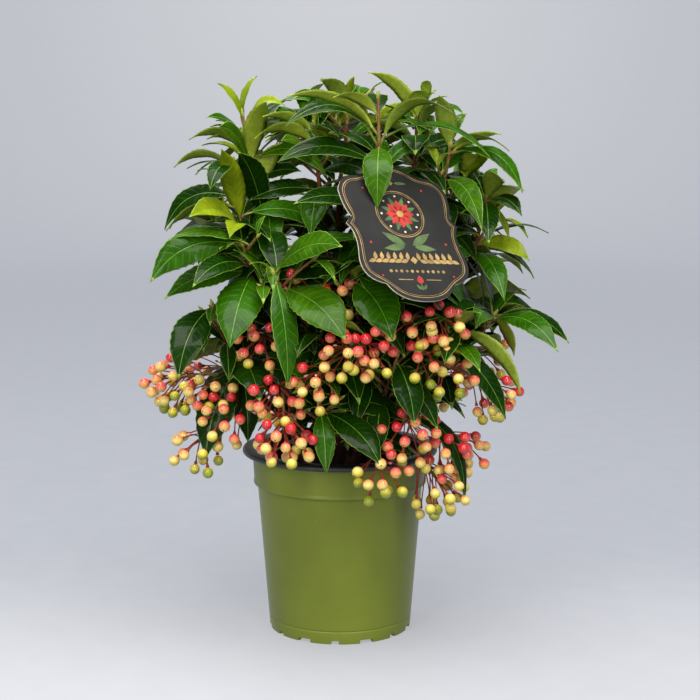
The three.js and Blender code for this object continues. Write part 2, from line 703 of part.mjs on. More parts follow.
// The rule for the leaves that no row names: heads fan out from the crown's middle by the golden
// part, and leaves rise the more the nearer they are to the tip
function ruledLeaf(i, axes, outward, seed) {
  const curve = axes[i % axes.length];
  const at = 0.35 + 0.65 * part(i * GOLDEN_PART + chance(seed, 50));
  const heading = outward + 310 * (part(i * GOLDEN_PART * GOLDEN_PART + chance(seed, 51)) - 0.5);
  const rise = mix(-18, 52, at) + 24 * (chance(seed, 60 + i) - 0.5);
  const length = LEAF.length * (0.8 + 0.36 * chance(seed, 90 + i));
  const arch = 0.1 + 0.14 * chance(seed, 120 + i);
  const roll = 44 * (chance(seed, 150 + i) - 0.5);
  return leafAt(curve, at, [heading, rise, length, length * LEAF.widthRatio, arch, roll]);
}

const masses = Object.entries(MASSES).map(([name, mass], number) => {
  const bodies = [shoots[name].body];
  const { outward, axes } = axesOf(name, mass, number);
  for (const axis of axes.slice(1)) {
    const twig = solid(limb(axis, TWIG));
    if (isClear(name, twig)) {
      bodies.push(twig);
      keep(name, twig);
    }
  }
  const shown = mass.show.map(([at, ...row]) => leafAt(axes[0], at, row));
  const ruled = Array.from({ length: mass.leaves }, (_, i) => ruledLeaf(i, axes, outward, number));
  return { name, bodies, shown, ruled };
});

// A leaf that would touch something is turned aside a little, and left out where that doesn't help
function addLeaf(mass, { foot, row: [heading, rise, ...shape] }, crossing) {
  for (const [turn, tilt] of LEAF.turns) {
    const row = [heading + turn, rise + tilt, ...shape];
    if (isClear(mass.name, solid(leafGeometry(foot, row, GAP)), crossing)) {
      const leaf = solid(leafGeometry(foot, row, 0));
      mass.bodies.push(leaf);
      keep(mass.name, leaf);
      return;
    }
  }
}

for (const mass of masses) {
  mass.shown.forEach((leaf) => addLeaf(mass, leaf, LEAF.crossing.shown));
}
for (const { name, number, umbels, stalks, bodies } of fruits) {
  stalks.forEach((stalk, k) => {
    const [spot, count] = umbels[k];
    umbel(vector(spot), stalk.getTangent(1), count, number * 10 + k)
      .map((berry, i) => [stalk.getPoint(1 - (BERRY.along * i) / count), berry])
      .filter((_, i) => i % BERRY.share === 0)
      .map(([root, berry]) => berryOn(root, berry))
      .filter((berry) => isClear(name, berry))
      .forEach((berry) => bodies.push(berry));
  });
  const body = fuse(bodies);
  keep(name, body);
  place(name, geometryOf(body), FINISH.fruit);
}
for (const mass of masses) {
  mass.ruled
    .filter(({ foot, row: [heading, rise, length] }) => (
      inCrown(foot.clone().addScaledVector(bearing(heading, rise), length))
    ))
    .forEach((leaf) => addLeaf(mass, leaf, LEAF.crossing.ruled));
  place(mass.name, geometryOf(fuse(mass.bodies)), FINISH.leaf);
}

export default plant;
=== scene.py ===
"""Looks of a potted coral ardisia, a small evergreen shrub with hanging umbels of berries.

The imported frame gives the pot, the label and the limbs their places. The plant grows here once more by
the rule of its source and is carried on to finer twigs, leaves, berries and their stalks. Lengths are
in millimetres up to the mesh, which is in metres; +Z is up and the front looks towards -Y.
"""
import functools
import math
from types import SimpleNamespace as Sizes

import bmesh
import bpy
import numpy as np
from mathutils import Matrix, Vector


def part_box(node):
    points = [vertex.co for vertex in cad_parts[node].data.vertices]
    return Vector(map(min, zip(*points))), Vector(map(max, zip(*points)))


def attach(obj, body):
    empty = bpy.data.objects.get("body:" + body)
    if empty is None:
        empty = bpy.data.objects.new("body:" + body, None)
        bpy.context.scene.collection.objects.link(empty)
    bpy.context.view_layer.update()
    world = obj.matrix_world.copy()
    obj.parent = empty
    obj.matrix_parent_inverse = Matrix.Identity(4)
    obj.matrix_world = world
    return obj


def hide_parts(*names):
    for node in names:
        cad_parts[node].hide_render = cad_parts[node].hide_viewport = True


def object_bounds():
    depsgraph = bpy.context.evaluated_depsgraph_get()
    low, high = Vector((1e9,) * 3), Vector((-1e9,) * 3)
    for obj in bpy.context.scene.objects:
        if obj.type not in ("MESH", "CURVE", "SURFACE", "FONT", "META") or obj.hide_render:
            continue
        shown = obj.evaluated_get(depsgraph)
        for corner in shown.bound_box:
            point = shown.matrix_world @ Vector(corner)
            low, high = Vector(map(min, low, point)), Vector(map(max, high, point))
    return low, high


bl_info = {
    "name": "Potted Coral Ardisia",
    "version": (1, 0, 0),
    "blender": (4, 5, 0),
    "location": "3D View > Sidebar > Ardisia",
    "description": "Dresses the packed frame of a potted coral ardisia",
    "category": "Add Mesh",
}

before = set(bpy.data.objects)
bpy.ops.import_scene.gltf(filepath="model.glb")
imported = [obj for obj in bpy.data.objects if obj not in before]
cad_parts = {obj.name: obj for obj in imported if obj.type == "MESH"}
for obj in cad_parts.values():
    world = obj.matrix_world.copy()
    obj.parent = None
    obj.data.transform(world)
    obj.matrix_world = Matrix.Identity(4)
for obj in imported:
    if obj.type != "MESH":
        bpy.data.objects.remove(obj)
CAD_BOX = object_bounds()
MM = 0.001
TINY = 1e-9
GAP = 0.3
GOLDEN_TURN = 137.5
GOLDEN_PART = 0.618
UP = np.array([0.0, 0.0, 1.0])
CAMERA = Sizes(place=np.array([6.7, -1103.0, 360.0]), pitch=8.9, lens=86.6, far=20)


def from_frame(node, corner, axis):
    """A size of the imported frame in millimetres: one coordinate of a corner of a node's box."""
    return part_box(node)[corner][axis] / MM


# The pot, with its measures taken from the frame where the box of a node gives them
POT = Sizes(
    foot_radius=47.3, wall_radius=55.3, wall_top=99.0, collar_radius=57.4, collar_bottom=100.5, bead=0.35,
    top_radius=from_frame("pot_wall", 1, 0), top=from_frame("pot_wall", 1, 2), wall=1.6, floor=5.0,
    recess=2.5, pad_radius=12.0, foot_width=3.0, groove=8.5, groove_depth=0.45, round=0.5, steps=240,
)
NOTCHES = Sizes(count=14, height=2.4, widths=(5.0, 9.0), first=0.35, edge=0.04)
RIM = Sizes(
    radius=from_frame("pot_rim", 1, 1), top=from_frame("pot_rim", 1, 2), bottom=118.9,
    skirt_foot=from_frame("pot_rim", 0, 2), skirt=1.2, draft=0.8, round=0.6,
    mouth=POT.top_radius - POT.wall - GAP,
)
SOIL = Sizes(
    top=from_frame("soil", 1, 2), bottom=from_frame("soil", 0, 2), relief=1.3, granules=260, sides=96,
)
LABEL = Sizes(
    half_height=48.5, thick=0.9, yaw=30.0, dip=4.4, lean=37.0, eye_at=0.66, eye_radius=4.2, neck=4.0,
    reach=5.0, stand=3.1, ink=0.06, sink=0.05, ease=6, hides=(37, 46.5), clear=(39, 49), gap=2.5,
)
# The label's outline from the dome at the top to the foot, one side: [pull, end] of each curve
LABEL_SIDE = [
    [[12, 48.5], [20.5, 39.5]], [[34, 42], [38.6, 29]], [[38.5, 16], [34.6, 10]], [[36.5, 9.5], [39.6, 5]],
    [[34, 0], [36.5, -14]], [[42, -33], [24, -36.5]], [[18, -48.5], [0, -48.5]],
]

# Organs of the plant: radii at foot and tip, and how finely each is drawn
STEM = Sizes(radii=(4.2, 2.1), flare=5.6, sunk=3, sides=24, rings=110, seed=0)
BOUGH = Sizes(radii=(2.0, 1.5), swell=0.45, sides=16, rings=40, seed=4)
SHOOT = Sizes(radii=(1.5, 1.0), root=2.0, woody=0.75, sides=10, rings=26)
TWIG = Sizes(
    radii=(1.1, 0.8), woody=0.35, sides=8, rings=12, rise=38, turn=70, share=0.45, least=14, count=3,
    bare=2.5, bud_steps=(0.8, 2.2, 4.2, 5.6), bud_girths=(1.25, 1.4, 0.8, 0.15),
)
BARK = Sizes(ridges=0.16, scars=0.3, scar_step=13.0, scar_width=0.9)
LEAF = Sizes(
    length=58.0, young=31, width_ratios=(0.38, 0.26), outward=42.0, root=0.2, petiole_share=0.09,
    petiole_half=0.7, petiole_rings=2, thick=0.4, rim=0.4, rib=0.3, tooth=0.055, rib_sunk=0.14,
    front_droop=26.0, samples=np.linspace(0.15, 1, 8), sight=8.0, sky_margin=1.0,
)
BERRY = Sizes(
    radius=3.55, reach=13, more=0.25, spread=105, space=7.9, push=24, sag=0.35, along=0.3, blush=1.15,
    rings=9, sides=12,
)
PEDICEL = Sizes(radius=0.42, cup=0.9, arch=0.1, bare=2, bud=0.6, sides=6, rings=9)
STALK = Sizes(radii=(1.3, 1.0), root=1.3, sides=10, rings=22, arch=0.12)
CROWN = Sizes(
    centre=np.array([8, 0, 238]), radii=np.array([146, 124, 140]), share=0.98, lowest=118, highest=366,
    spare=5,
)
INNER = Sizes(step=4.0, length=46.0, width_ratio=0.36, share=0.82, seed=7000)
# Columns of a leaf's row, after the x, y and z of its foot
HEADING, RISE, LENGTH, WIDTH, ARCH, ROLL, TONE, SHOWN = range(3, 11)
# Material slots: those of a leaf after its four blade tones, of which the last is the young one, and the
# underside of each tone; that of a berry's style, after its stages; and those of the label
YOUNG, RIB_SLOT, RIM_SLOT, STALK_SLOT = 3, 6, 7, 8
UNDERSIDES = np.array([4, 4, 5, YOUNG])
STYLE_SLOT = 5
CARD, EDGE, GOLD, RED, GREEN, PALE = range(6)
# Where the sky shows through the crown, as seen from the front: x and z on the plane of the stems, radius
SKY = np.array([
    [-58, 310, 2], [-21, 302, 5], [-1, 325, 2], [-74, 292, 3], [-74, 278, 3], [-58, 258, 4], [-10, 252, 4],
    [72, 306, 3], [88, 231, 4], [-33, 156, 4], [42, 136, 3], [-105, 222, 13], [-118, 198, 9], [-78, 228, 3],
    [-86, 178, 6], [93, 338, 9], [122, 310, 12], [118, 283, 8], [138, 225, 6], [112, 197, 5], [-88, 226, 8],
], float)

# Stems: foot on the soil [x, y], then tip. Boughs: the stem that carries each, the place on it, its tip.
# Masses: the limb that carries each, the place on it, the tip of its shoot, its side twigs, its leaves
# by rule, and the leaves that show most: [place, heading, rise, length, width, arch, roll, tone].
# Fruit: the limb and the place that carry each stalk, then each umbel's centre, berries and ripeness
# from 0, lime green, to 5, red.
STEMS = {
    "left": [[-20, -8], [-47, -20, 268]],
    "mid": [[0, 8], [0, -5, 298]],
    "right": [[22, -2], [56, -8, 260]],
    "front": [[6, -22], [27, -48, 260]],
    "back": [[-4, 28], [-6, 52, 268]],
}
BOUGHS = {
    "left_high": ["left", 0.72, [-60, -32, 258]],
    "left_low": ["left", 0.25, [-62, -38, 182]],
    "front_mid": ["front", 0.5, [14, -56, 208]],
    "top_mid": ["mid", 0.72, [-12, -20, 292]],
    "top_right": ["mid", 0.62, [46, -12, 290]],
    "right_mid": ["right", 0.6, [82, -14, 242]],
    "right_low": ["right", 0.34, [80, -20, 192]],
    "right_front": ["right", 0.22, [60, -44, 184]],
    "back_left": ["back", 0.42, [-56, 40, 228]],
    "back_right": ["back", 0.46, [52, 44, 236]],
    "back_low_left": ["back", 0.16, [-52, 34, 166]],
    "back_low_right": ["back", 0.2, [48, 44, 172]],
}
MASSES = {
    "top_left": ["left", 1, [-62, -15, 341], 1, 6, [
        [0.95, 213, 55, 32, 10, 0.1, -50, 3], [1, 20, 70, 28, 10, 0.1, 10, 3],
        [0.6, 290, 54, 56, 17, 0.16, 10, 2], [0.8, 229, 28, 40, 12, 0.15, -40, 1],
        [0.7, 202, 18, 42, 11, 0.24, 35, 1], [0.62, 250, 30, 56, 15, 0.12, -80, 2],
        [0.66, 330, -6, 58, 14, 0.22, 35, 2], [0.12, 250, 50, 60, 19, 0.1, -150, 0],
        [0.74, 190, 20, 28, 10, 0.2, 30, 0], [0.4, 350, 62, 38, 12, 0.08, -80, 2],
        [0.5, 350, 14, 32, 15, 0.12, 38, 0],
    ]],
    "left_high": ["left_high", 1, [-66, -42, 312], 1, 6, [
        [0.95, 180, 3, 38, 11, 0.24, 30, 1], [1, 245, -25, 34, 13, 0.2, -20, 0],
        [0.36, 252, 58, 58, 15, 0.06, 25, 3], [0.66, 178, -22, 50, 17, 0.24, -45, 0],
        [0.56, 205, -14, 50, 15, 0.16, 30, 1], [0.3, 240, 12, 58, 16, 0.14, -50, 3],
        [0.2, 262, 4, 40, 14, 0.2, -20, 3],
    ]],
    "left_mid": ["left", 0.76, [-60, -58, 262], 1, 8, [
        [1, 200, -18, 62, 23, 0.18, -58, 1], [0.6, 192, -14, 58, 19, 0.12, -50, 1],
        [0.7, 236, -6, 58, 17, 0.14, -30, 0], [0.6, 258, -34, 68, 29, 0.1, -12, 1],
    ]],
    "left_low": ["left_low", 1, [-80, -46, 222], 2, 8, [
        [1, 245, -41, 58, 23, 0.16, -25, 0], [0.5, 276, -24, 44, 11, 0.12, 0, 0],
        [0.25, 292, -22, 54, 26, 0.16, 0, 0], [0.05, 232, -58, 64, 25, 0.12, -28, 0],
        [0, 285, -72, 48, 18, 0.1, 0, 0],
    ]],
    "front_left": ["front", 0.52, [-40, -74, 246], 1, 9, [
        [1, 324, 22, 56, 22, 0.14, 50, 2], [0.9, 314, -24, 62, 29, 0.1, 28, 2],
        [1, 290, -68, 70, 17, 0.12, 0, 1], [0.6, 330, -6, 44, 10, 0.12, -55, 2],
    ]],
    "front_mid": ["front_mid", 1, [8, -70, 246], 1, 9, [
        [0.9, 300, -32, 56, 27, 0.12, 24, 1], [1, 332, -38, 46, 19, 0.12, 28, 1],
        [0.5, 322, -36, 46, 17, 0.14, 20, 0],
    ]],
    "top_mid": ["top_mid", 1, [-16, -28, 336], 1, 6, [
        [0.9, 207, 18, 38, 11, 0.12, 35, 2], [0.75, 215, 8, 46, 12, 0.2, 38, 2],
        [0.35, 318, -4, 50, 19, 0.18, 35, 0], [0.5, 246, 19, 54, 13, 0.1, -40, 2],
        [0.15, 262, -38, 46, 18, 0.12, 0, 1], [0.05, 190, -6, 46, 15, 0.1, -45, 0],
    ]],
    "top_centre": ["mid", 1, [6, -10, 352], 2, 9, [
        [0.95, 225, 34, 30, 9, 0.1, 20, 3], [0.85, 206, 16, 40, 12, 0.18, 30, 2],
        [1, 300, 66, 16, 6, 0.1, 0, 3], [0.8, 236, 40, 40, 12, 0.2, 30, 1],
    ]],
    "top_front": ["front", 1, [24, -60, 353], 0, 6, [
        [0.74, 267, -50, 47, 19, 0.24, 0, 2], [0.74, 207, 12, 66, 16, 0.28, -22, 0],
        [0.8, 186, 24, 62, 12, 0.16, 38, 2], [0.9, 219, 20, 38, 10, 0.16, 35, 2],
        [0.74, 326, 16, 62, 14, 0.3, -20, 1], [0.78, 342, -8, 72, 14, 0.2, 12, 1],
        [0.3, 206, 8, 60, 17, 0.12, -40, 0], [0.62, 199, 4, 66, 18, 0.16, -38, 0],
    ]],
    "top_right": ["top_right", 1, [50, -15, 345], 1, 8, [
        [0.9, 273, 42, 30, 13, 0.2, 0, 2], [0.95, 329, 32, 25, 9, 0.1, 0, 2],
        [1, 146, 45, 14, 5, 0.1, 0, 3], [0.8, 312, 16, 44, 15, 0.26, 0, 1],
        [0.86, 190, 47, 47, 13, 0.17, 40, 2], [0.7, 186, 20, 34, 11, 0.14, 30, 0],
    ]],
    "right_high": ["right", 1, [70, -35, 322], 1, 6, [
        [0.95, 328, -23, 56, 14, 0.24, 22, 1], [0.95, 340, 22, 36, 12, 0.1, -30, 2],
        [1, 318, 0, 46, 12, 0.16, -20, 1], [0.72, 290, -24, 64, 15, 0.16, 30, 2],
        [0.95, 250, 58, 44, 14, 0.12, 0, 1],
    ]],
    "right_mid": ["right_mid", 1, [94, -22, 290], 1, 6, [
        [0.95, 312, -12, 32, 13, 0.2, 20, 0], [0.95, 268, -22, 56, 16, 0.12, 0, 0],
        [0.95, 318, -50, 30, 8, 0.1, 0, 3], [0.42, 333, -12, 38, 14, 0.14, 38, 3],
        [0.45, 340, -28, 44, 14, 0.14, 10, 0], [0.3, 286, -22, 62, 17, 0.16, 0, 1],
    ]],
    "right_low": ["right_low", 1, [99, -30, 214], 1, 7, [
        [0.8, 29, 44, 30, 10, 0.1, 0, 1], [1, 337, -15, 52, 16, 0.16, 25, 0],
        [1, 330, -58, 28, 13, 0.12, -60, 2], [0.9, 20, -10, 46, 13, 0.2, -30, 1],
        [0.9, 308, -11, 62, 17, 0.16, 28, 1], [0.9, 256, 4, 56, 15, 0.14, -40, 2],
    ]],
    "right_front": ["right_front", 1, [74, -62, 212], 1, 7, [
        [0.9, 292, 26, 38, 14, 0.14, 0, 2], [0.95, 330, -40, 58, 13, 0.16, -70, 1],
        [0.6, 328, -46, 58, 17, 0.1, 25, 0], [0.6, 290, -10, 48, 14, 0.14, 0, 2],
        [0.9, 258, -16, 46, 13, 0.1, 0, 0],
    ]],
    "front_low": ["front", 0.26, [36, -78, 196], 1, 7, [
        [0.95, 292, -50, 44, 20, 0.12, 0, 0], [0.8, 322, -40, 46, 16, 0.12, 20, 0],
        [0.4, 345, -47, 82, 15, 0.26, 25, 0], [0.5, 262, -48, 42, 15, 0.12, 0, 0],
    ]],
    "rim_front": ["front", 0.12, [-12, -72, 162], 1, 6, [
        [0.95, 318, -28, 56, 22, 0.12, 20, 0], [0.7, 338, -14, 44, 16, 0.1, 20, 0],
        [0.6, 285, 30, 42, 12, 0.12, 0, 1], [1, 280, -56, 43, 14, 0.12, 10, 1],
    ]],
    "back_left": ["back_left", 1, [-80, 48, 282], 2, 15, []],
    "back_top": ["back", 1, [-8, 52, 338], 2, 16, []],
    "back_right": ["back_right", 1, [72, 52, 296], 2, 15, []],
    "back_low_left": ["back_low_left", 1, [-82, 44, 206], 2, 12, []],
    "back_low_right": ["back_low_right", 1, [78, 58, 212], 2, 12, []],
    "back_mid": ["back", 0.45, [2, 92, 240], 2, 14, []],
}
FRUIT = {
    "left_far": ["left", 0.34, [[-106, -30, 173], 22, 1.7], [[-82, -46, 171], 14, 1.6]],
    "left": ["left", 0.2, [[-73, -56, 156], 16, 3.1], [[-90, -52, 136], 10, 1.3]],
    "front_left": ["left", 0.42, [[-39, -76, 174], 16, 3.2], [[-34, -84, 150], 20, 3.2]],
    "inner_left": ["left", 0.6, [[-49, -66, 204], 12, 2.6]],
    "under_leaves": ["front", 0.72, [[-22, -66, 237], 7, 2.2], [[-1, -68, 234], 7, 2.6]],
    "centre": [
        "front", 0.42, [[4, -94, 203], 14, 3.2], [[18, -96, 206], 10, 3.2], [[-14, -90, 184], 10, 2.7],
    ],
    "right": ["right", 0.62, [[62, -76, 218], 14, 2.9], [[44, -82, 217], 8, 3.1]],
    "right_low": [
        "right", 0.26, [[55, -82, 198], 10, 2.9], [[70, -72, 187], 8, 2.4], [[97, -50, 170], 14, 3.3],
    ],
    "rim_right": [
        "right", 0.16, [[45, -78, 152], 16, 3.1], [[67, -64, 138], 14, 3.3], [[80, -46, 134], 10, 2.9],
    ],
    "over_rim": ["front", 0.14, [[26, -86, 127], 12, 1.4]],
    "hanging": ["front", 0.3, [[63, -60, 112], 20, 1.8]],
    "back_left": ["back", 0.2, [[-92, 40, 168], 12, 2.2], [[-66, 62, 146], 12, 2.6]],
    "back_mid": ["back", 0.3, [[-22, 98, 172], 18, 3.3], [[14, 102, 150], 16, 2.6]],
    "back_right": ["back", 0.24, [[72, 68, 158], 18, 3.5], [[98, 34, 180], 14, 3.2]],
}

# The pieces of foliage, each with the masses that it stands for
FOLIAGE = {
    "foliage_top": ("top_left", "top_mid", "top_centre", "top_front", "top_right"),
    "foliage_left": ("left_high", "left_mid", "left_low", "front_left"),
    "foliage_right": ("right_high", "right_mid", "right_low", "right_front"),
    "foliage_front": ("front_mid", "front_low", "rim_front"),
    "foliage_back": ("back_left", "back_top", "back_right", "back_low_left", "back_low_right", "back_mid"),
}


def part(value):
    return value - np.floor(value)


def mix(low, high, share):
    return low + (high - low) * share


def smooth(low, high, value):
    """Smoothstep: 3s^2 - 2s^3 of the value's share of the way from low to high, held between 0 and 1."""
    share = np.clip((value - low) / (high - low), 0, 1)
    return share * share * (3 - 2 * share)


def chance(seed, count):
    """An even spread of numbers from 0 to 1: the part after the point of 4375.5 sin(12.9 s + 78.2 n)."""
    return part(np.sin(seed * 12.9 + count * 78.2) * 4375.5)


def circle(steps):
    """Even angles round a full turn, in radians."""
    return np.linspace(0, 2 * np.pi, steps, endpoint=False)


def unit(vectors):
    return vectors / np.maximum(np.linalg.norm(vectors, axis=-1, keepdims=True), TINY)


def dot(a, b):
    return (a * b).sum(axis=-1, keepdims=True)


def bearing(heading, rise):
    """Unit vectors (cos r cos h, cos r sin h, sin r) from headings and rises in degrees."""
    turn, tilt = np.radians(heading), np.radians(rise)
    level = np.cos(tilt)
    return np.stack([level * np.cos(turn), level * np.sin(turn), np.sin(tilt) + 0 * turn], axis=-1)


def about(vectors, axis, angle):
    """Vectors turned about unit axes: v cos a + (k x v) sin a + k (k.v)(1 - cos a)."""
    angle = np.asarray(angle)[..., None]
    turned = vectors * np.cos(angle) + np.cross(axis, vectors) * np.sin(angle)
    return turned + axis * dot(axis, vectors) * (1 - np.cos(angle))


def pulls(curve, place):
    """The place t on quadratic curves, and their foot, middle and tip, ready to be combined."""
    return np.asarray(place, float)[..., None], *np.moveaxis(np.asarray(curve, float), -2, 0)


def along(curve, place):
    """Points of quadratic curves: (1-t)^2 foot + 2t(1-t) middle + t^2 tip."""
    t, foot, middle, tip = pulls(curve, place)
    return (1 - t) ** 2 * foot + 2 * t * (1 - t) * middle + t * t * tip


def tangent(curve, place):
    """Unit directions of quadratic curves: (1-t)(middle - foot) + t(tip - middle)."""
    t, foot, middle, tip = pulls(curve, place)
    return unit((1 - t) * (middle - foot) + t * (tip - middle))


def length_of(curve):
    return np.linalg.norm(np.diff(along(curve, np.linspace(0, 1, 201)), axis=0), axis=-1).sum()


def rising(foot, tip):
    """A limb's curve: its middle point lies 0.6 of the way out and 0.35 of the way up."""
    foot, tip = np.asarray(foot, float), np.asarray(tip, float)
    return np.stack([foot, mix(foot, tip, np.array([0.6, 0.6, 0.35])), tip])


def arching(foot, tip):
    """A stalk's curve: its middle point stands above the chord's middle by 2 x arch x span."""
    foot, tip = np.asarray(foot, float), np.asarray(tip, float)
    top = mix(foot, tip, 0.5) + 2 * STALK.arch * np.linalg.norm(tip - foot) * UP
    return np.stack([foot, top, tip])


def square_to(direction):
    """Two unit vectors square to each direction: e x direction, and direction x that, where e is the
    axis of space that the direction leans on least."""
    across = unit(np.cross(np.eye(3)[np.abs(direction).argmin(axis=-1)], direction))
    return across, np.cross(direction, across)


class Pile:
    """Closed surfaces gathered into one mesh: points, faces of any size, material slots and a UV map."""

    def __init__(self):
        self.points, self.uvs, self.faces, self.count = [], [], [], 0

    def add(self, points, uvs, groups):
        """Points k x 3, their UV k x 2, and groups of (faces f x n, slots f, UV shift f x 2, smooth)."""
        self.points.append(points)
        self.uvs.append(uvs)
        for corners, slots, shift, soft in groups:
            slots = np.broadcast_to(slots, len(corners))
            shift = np.broadcast_to(shift, (len(corners), 2))
            self.faces.append((corners + self.count, slots, shift, np.full(len(corners), soft)))
        self.count += len(points)

    def loft(self, rings, slots=0, caps=(0, 0), uvs=None, shift=0.0, looped=False, soft=True):
        """Skins over shapes x rings x sides x 3 points: quads between neighbouring rings, each ring
        turning left as seen from the next, and one flat face on each end unless the rings loop."""
        number = np.arange(rings.size // 3).reshape(rings.shape[:3])
        near, after = number, np.roll(number, -1, axis=1)
        if not looped:
            near, after = near[:, :-1], after[:, :-1]
        quads = np.stack([near, np.roll(near, -1, axis=2), np.roll(after, -1, axis=2), after], axis=-1)
        cells = quads.shape[:3]
        shift = np.broadcast_to(shift, (*cells, 2)).reshape(-1, 2)
        groups = [(quads.reshape(-1, 4), np.broadcast_to(slots, cells).reshape(-1), shift, soft)]
        if not looped:
            groups += [(number[:, 0, ::-1], caps[0], 0.0, False), (number[:, -1], caps[1], 0.0, False)]
        flat = np.zeros((number.size, 2)) if uvs is None else uvs.reshape(-1, 2)
        self.add(rings.reshape(-1, 3), flat, groups)

    def tube(self, path, girth, sides, slots=0, caps=(0, 0)):
        """A tube along one path r x 3, with its slots from ring to ring."""
        self.loft(tubes(path[None], girth[None], sides), np.reshape(slots, (1, -1, 1)), caps)

    def prism(self, low, high, slots):
        """A closed prism between two outlines k x 3 that turn left as seen from above the high one;
        slots are those of the top, the sides and the bottom."""
        i = np.arange(len(low))
        j = np.roll(i, -1)
        faces = (i[None] + len(i), np.stack([i, j, j + len(i), i + len(i)], axis=-1), i[None, ::-1])
        groups = [(corners, slot, 0.0, False) for corners, slot in zip(faces, slots)]
        self.add(np.concatenate([low, high]), np.zeros((2 * len(i), 2)), groups)

    def mesh(self, name, paints, weld=0.0, sharp=0.0):
        """The gathered surfaces as an object in metres; weld merges points closer than that length,
        and edges that turn by more degrees than sharp are drawn sharp."""
        data = bpy.data.meshes.new(name)
        faces, *kept = zip(*self.faces)
        slots, shift, soft = map(np.concatenate, kept)
        corners = np.concatenate([group.ravel() for group in faces])
        totals = np.concatenate([np.full(len(group), group.shape[1]) for group in faces])
        points = np.concatenate(self.points) * MM
        data.vertices.add(len(points))
        data.loops.add(len(corners))
        data.polygons.add(len(totals))
        data.vertices.foreach_set("co", points.ravel())
        data.loops.foreach_set("vertex_index", corners.astype(np.int32))
        data.polygons.foreach_set("loop_start", (np.cumsum(totals) - totals).astype(np.int32))
        data.polygons.foreach_set("material_index", slots.astype(np.int32))
        data.polygons.foreach_set("use_smooth", soft)
        uvs = np.concatenate(self.uvs)[corners] - np.repeat(shift, totals, axis=0)
        data.uv_layers.new(name="surface").data.foreach_set("uv", uvs.astype(np.float32).ravel())
        data.update(calc_edges=True)
        if data.validate():
            raise RuntimeError(f"the mesh of {name} was not sound")
        for paint in paints:
            data.materials.append(paint)
        if weld:
            shape = bmesh.new()
            shape.from_mesh(data)
            bmesh.ops.remove_doubles(shape, verts=shape.verts, dist=weld * MM)
            wires = [edge for edge in shape.edges if not edge.link_faces]
            bmesh.ops.delete(shape, geom=wires, context="EDGES")
            shape.to_mesh(data)
            shape.free()
        if sharp:
            data.set_sharp_from_angle(angle=math.radians(sharp))
        piece = bpy.data.objects.new(name, data)
        bpy.context.scene.collection.objects.link(piece)
        return piece


def seat(piece, slot, *nodes):
    """The piece rides on the part's one body and stands for the named nodes; the slot argument is not used.
    """
    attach(piece, "root")
    if nodes:
        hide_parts(*nodes)


def tubes(paths, radii, sides):
    """Rings round paths n x r x 3: centre + radius (cos a across + sin a along), with one reference
    axis for each path so that its rings don't twist. Radii are n x r or n x r x sides."""
    direction = unit(np.gradient(paths, axis=1))
    reference = np.eye(3)[np.abs(direction).max(axis=1).argmin(axis=-1)][:, None]
    across = unit(np.cross(reference, direction))
    turn = circle(sides)[:, None]
    spokes = np.cos(turn) * across[:, :, None] + np.sin(turn) * np.cross(direction, across)[:, :, None]
    radii = radii[..., None] if radii.ndim == 2 else radii
    return paths[:, :, None] + radii[..., None] * spokes


def bark_relief(path, radii, sides, seed):
    """Radii r x sides: long ridges, as sines round the limb that wander along it, and a raised scar at
    every step of its length, left by a fallen leaf on one side."""
    way = np.concatenate([[0], np.linalg.norm(np.diff(path, axis=0), axis=-1).cumsum()])[:, None]
    turn, phase = circle(sides), seed * 1.7
    ridges = np.sin(5 * turn + 2.2 * np.sin(way * 0.09 + phase)) * 0.5
    ridges = ridges + np.sin(8 * turn + 1.6 * np.sin(way * 0.21 + phase) + phase) * 0.3
    ridges = ridges + np.sin(3 * turn + way * 0.5 + phase) * 0.2
    number = np.floor(way / BARK.scar_step)
    off = (way - (number + 0.5) * BARK.scar_step) / BARK.scar_width
    side = np.cos(turn - np.radians(GOLDEN_TURN) * number - phase)
    scars = np.exp(-off * off) * (0.45 + 0.55 * side)
    radii = radii[:, None]
    return radii + np.minimum(1, radii / 2) * (BARK.ridges * ridges + BARK.scars * scars)


def side_root(limb, place, tip, radius, course):
    """Where a limb of that radius, on its course to a tip, stands clear of the limb that carries it, and
    the point on the carrier's axis that it comes from."""
    curve, radii = limb[:2]
    point = along(curve, place)
    away = tangent(course(point, tip), 0)
    lean = np.arccos(np.clip((away * tangent(curve, place)).sum(), -1, 1))
    out = (mix(*radii, place) + GAP + radius * abs(math.cos(lean))) / math.sin(lean)
    return point + away * out, point


@functools.cache
def limbs():
    """Stems and boughs by name: the curve, the radii at foot and tip, and the point inside the carrier."""
    grown = {}
    for name, (foot, tip) in STEMS.items():
        grown[name] = rising([*foot, SOIL.top + GAP], tip), STEM.radii, None
    for name, (on, place, tip) in BOUGHS.items():
        root, inside = side_root(grown[on], place, tip, BOUGH.radii[0], rising)
        grown[name] = rising(root, tip), BOUGH.radii, inside
    return grown


@functools.cache
def shoots():
    """Each mass's shoot: its curve and the point inside the limb that carries it."""
    grown = {}
    for name, (on, place, tip, *_) in MASSES.items():
        limb = limbs()[on]
        if place < 1:
            root, inside = side_root(limb, place, tip, SHOOT.root, rising)
        else:
            root, inside = along(limb[0], 1) + GAP * tangent(limb[0], 1), along(limb[0], 0.97)
        grown[name] = rising(root, tip), inside
    return grown


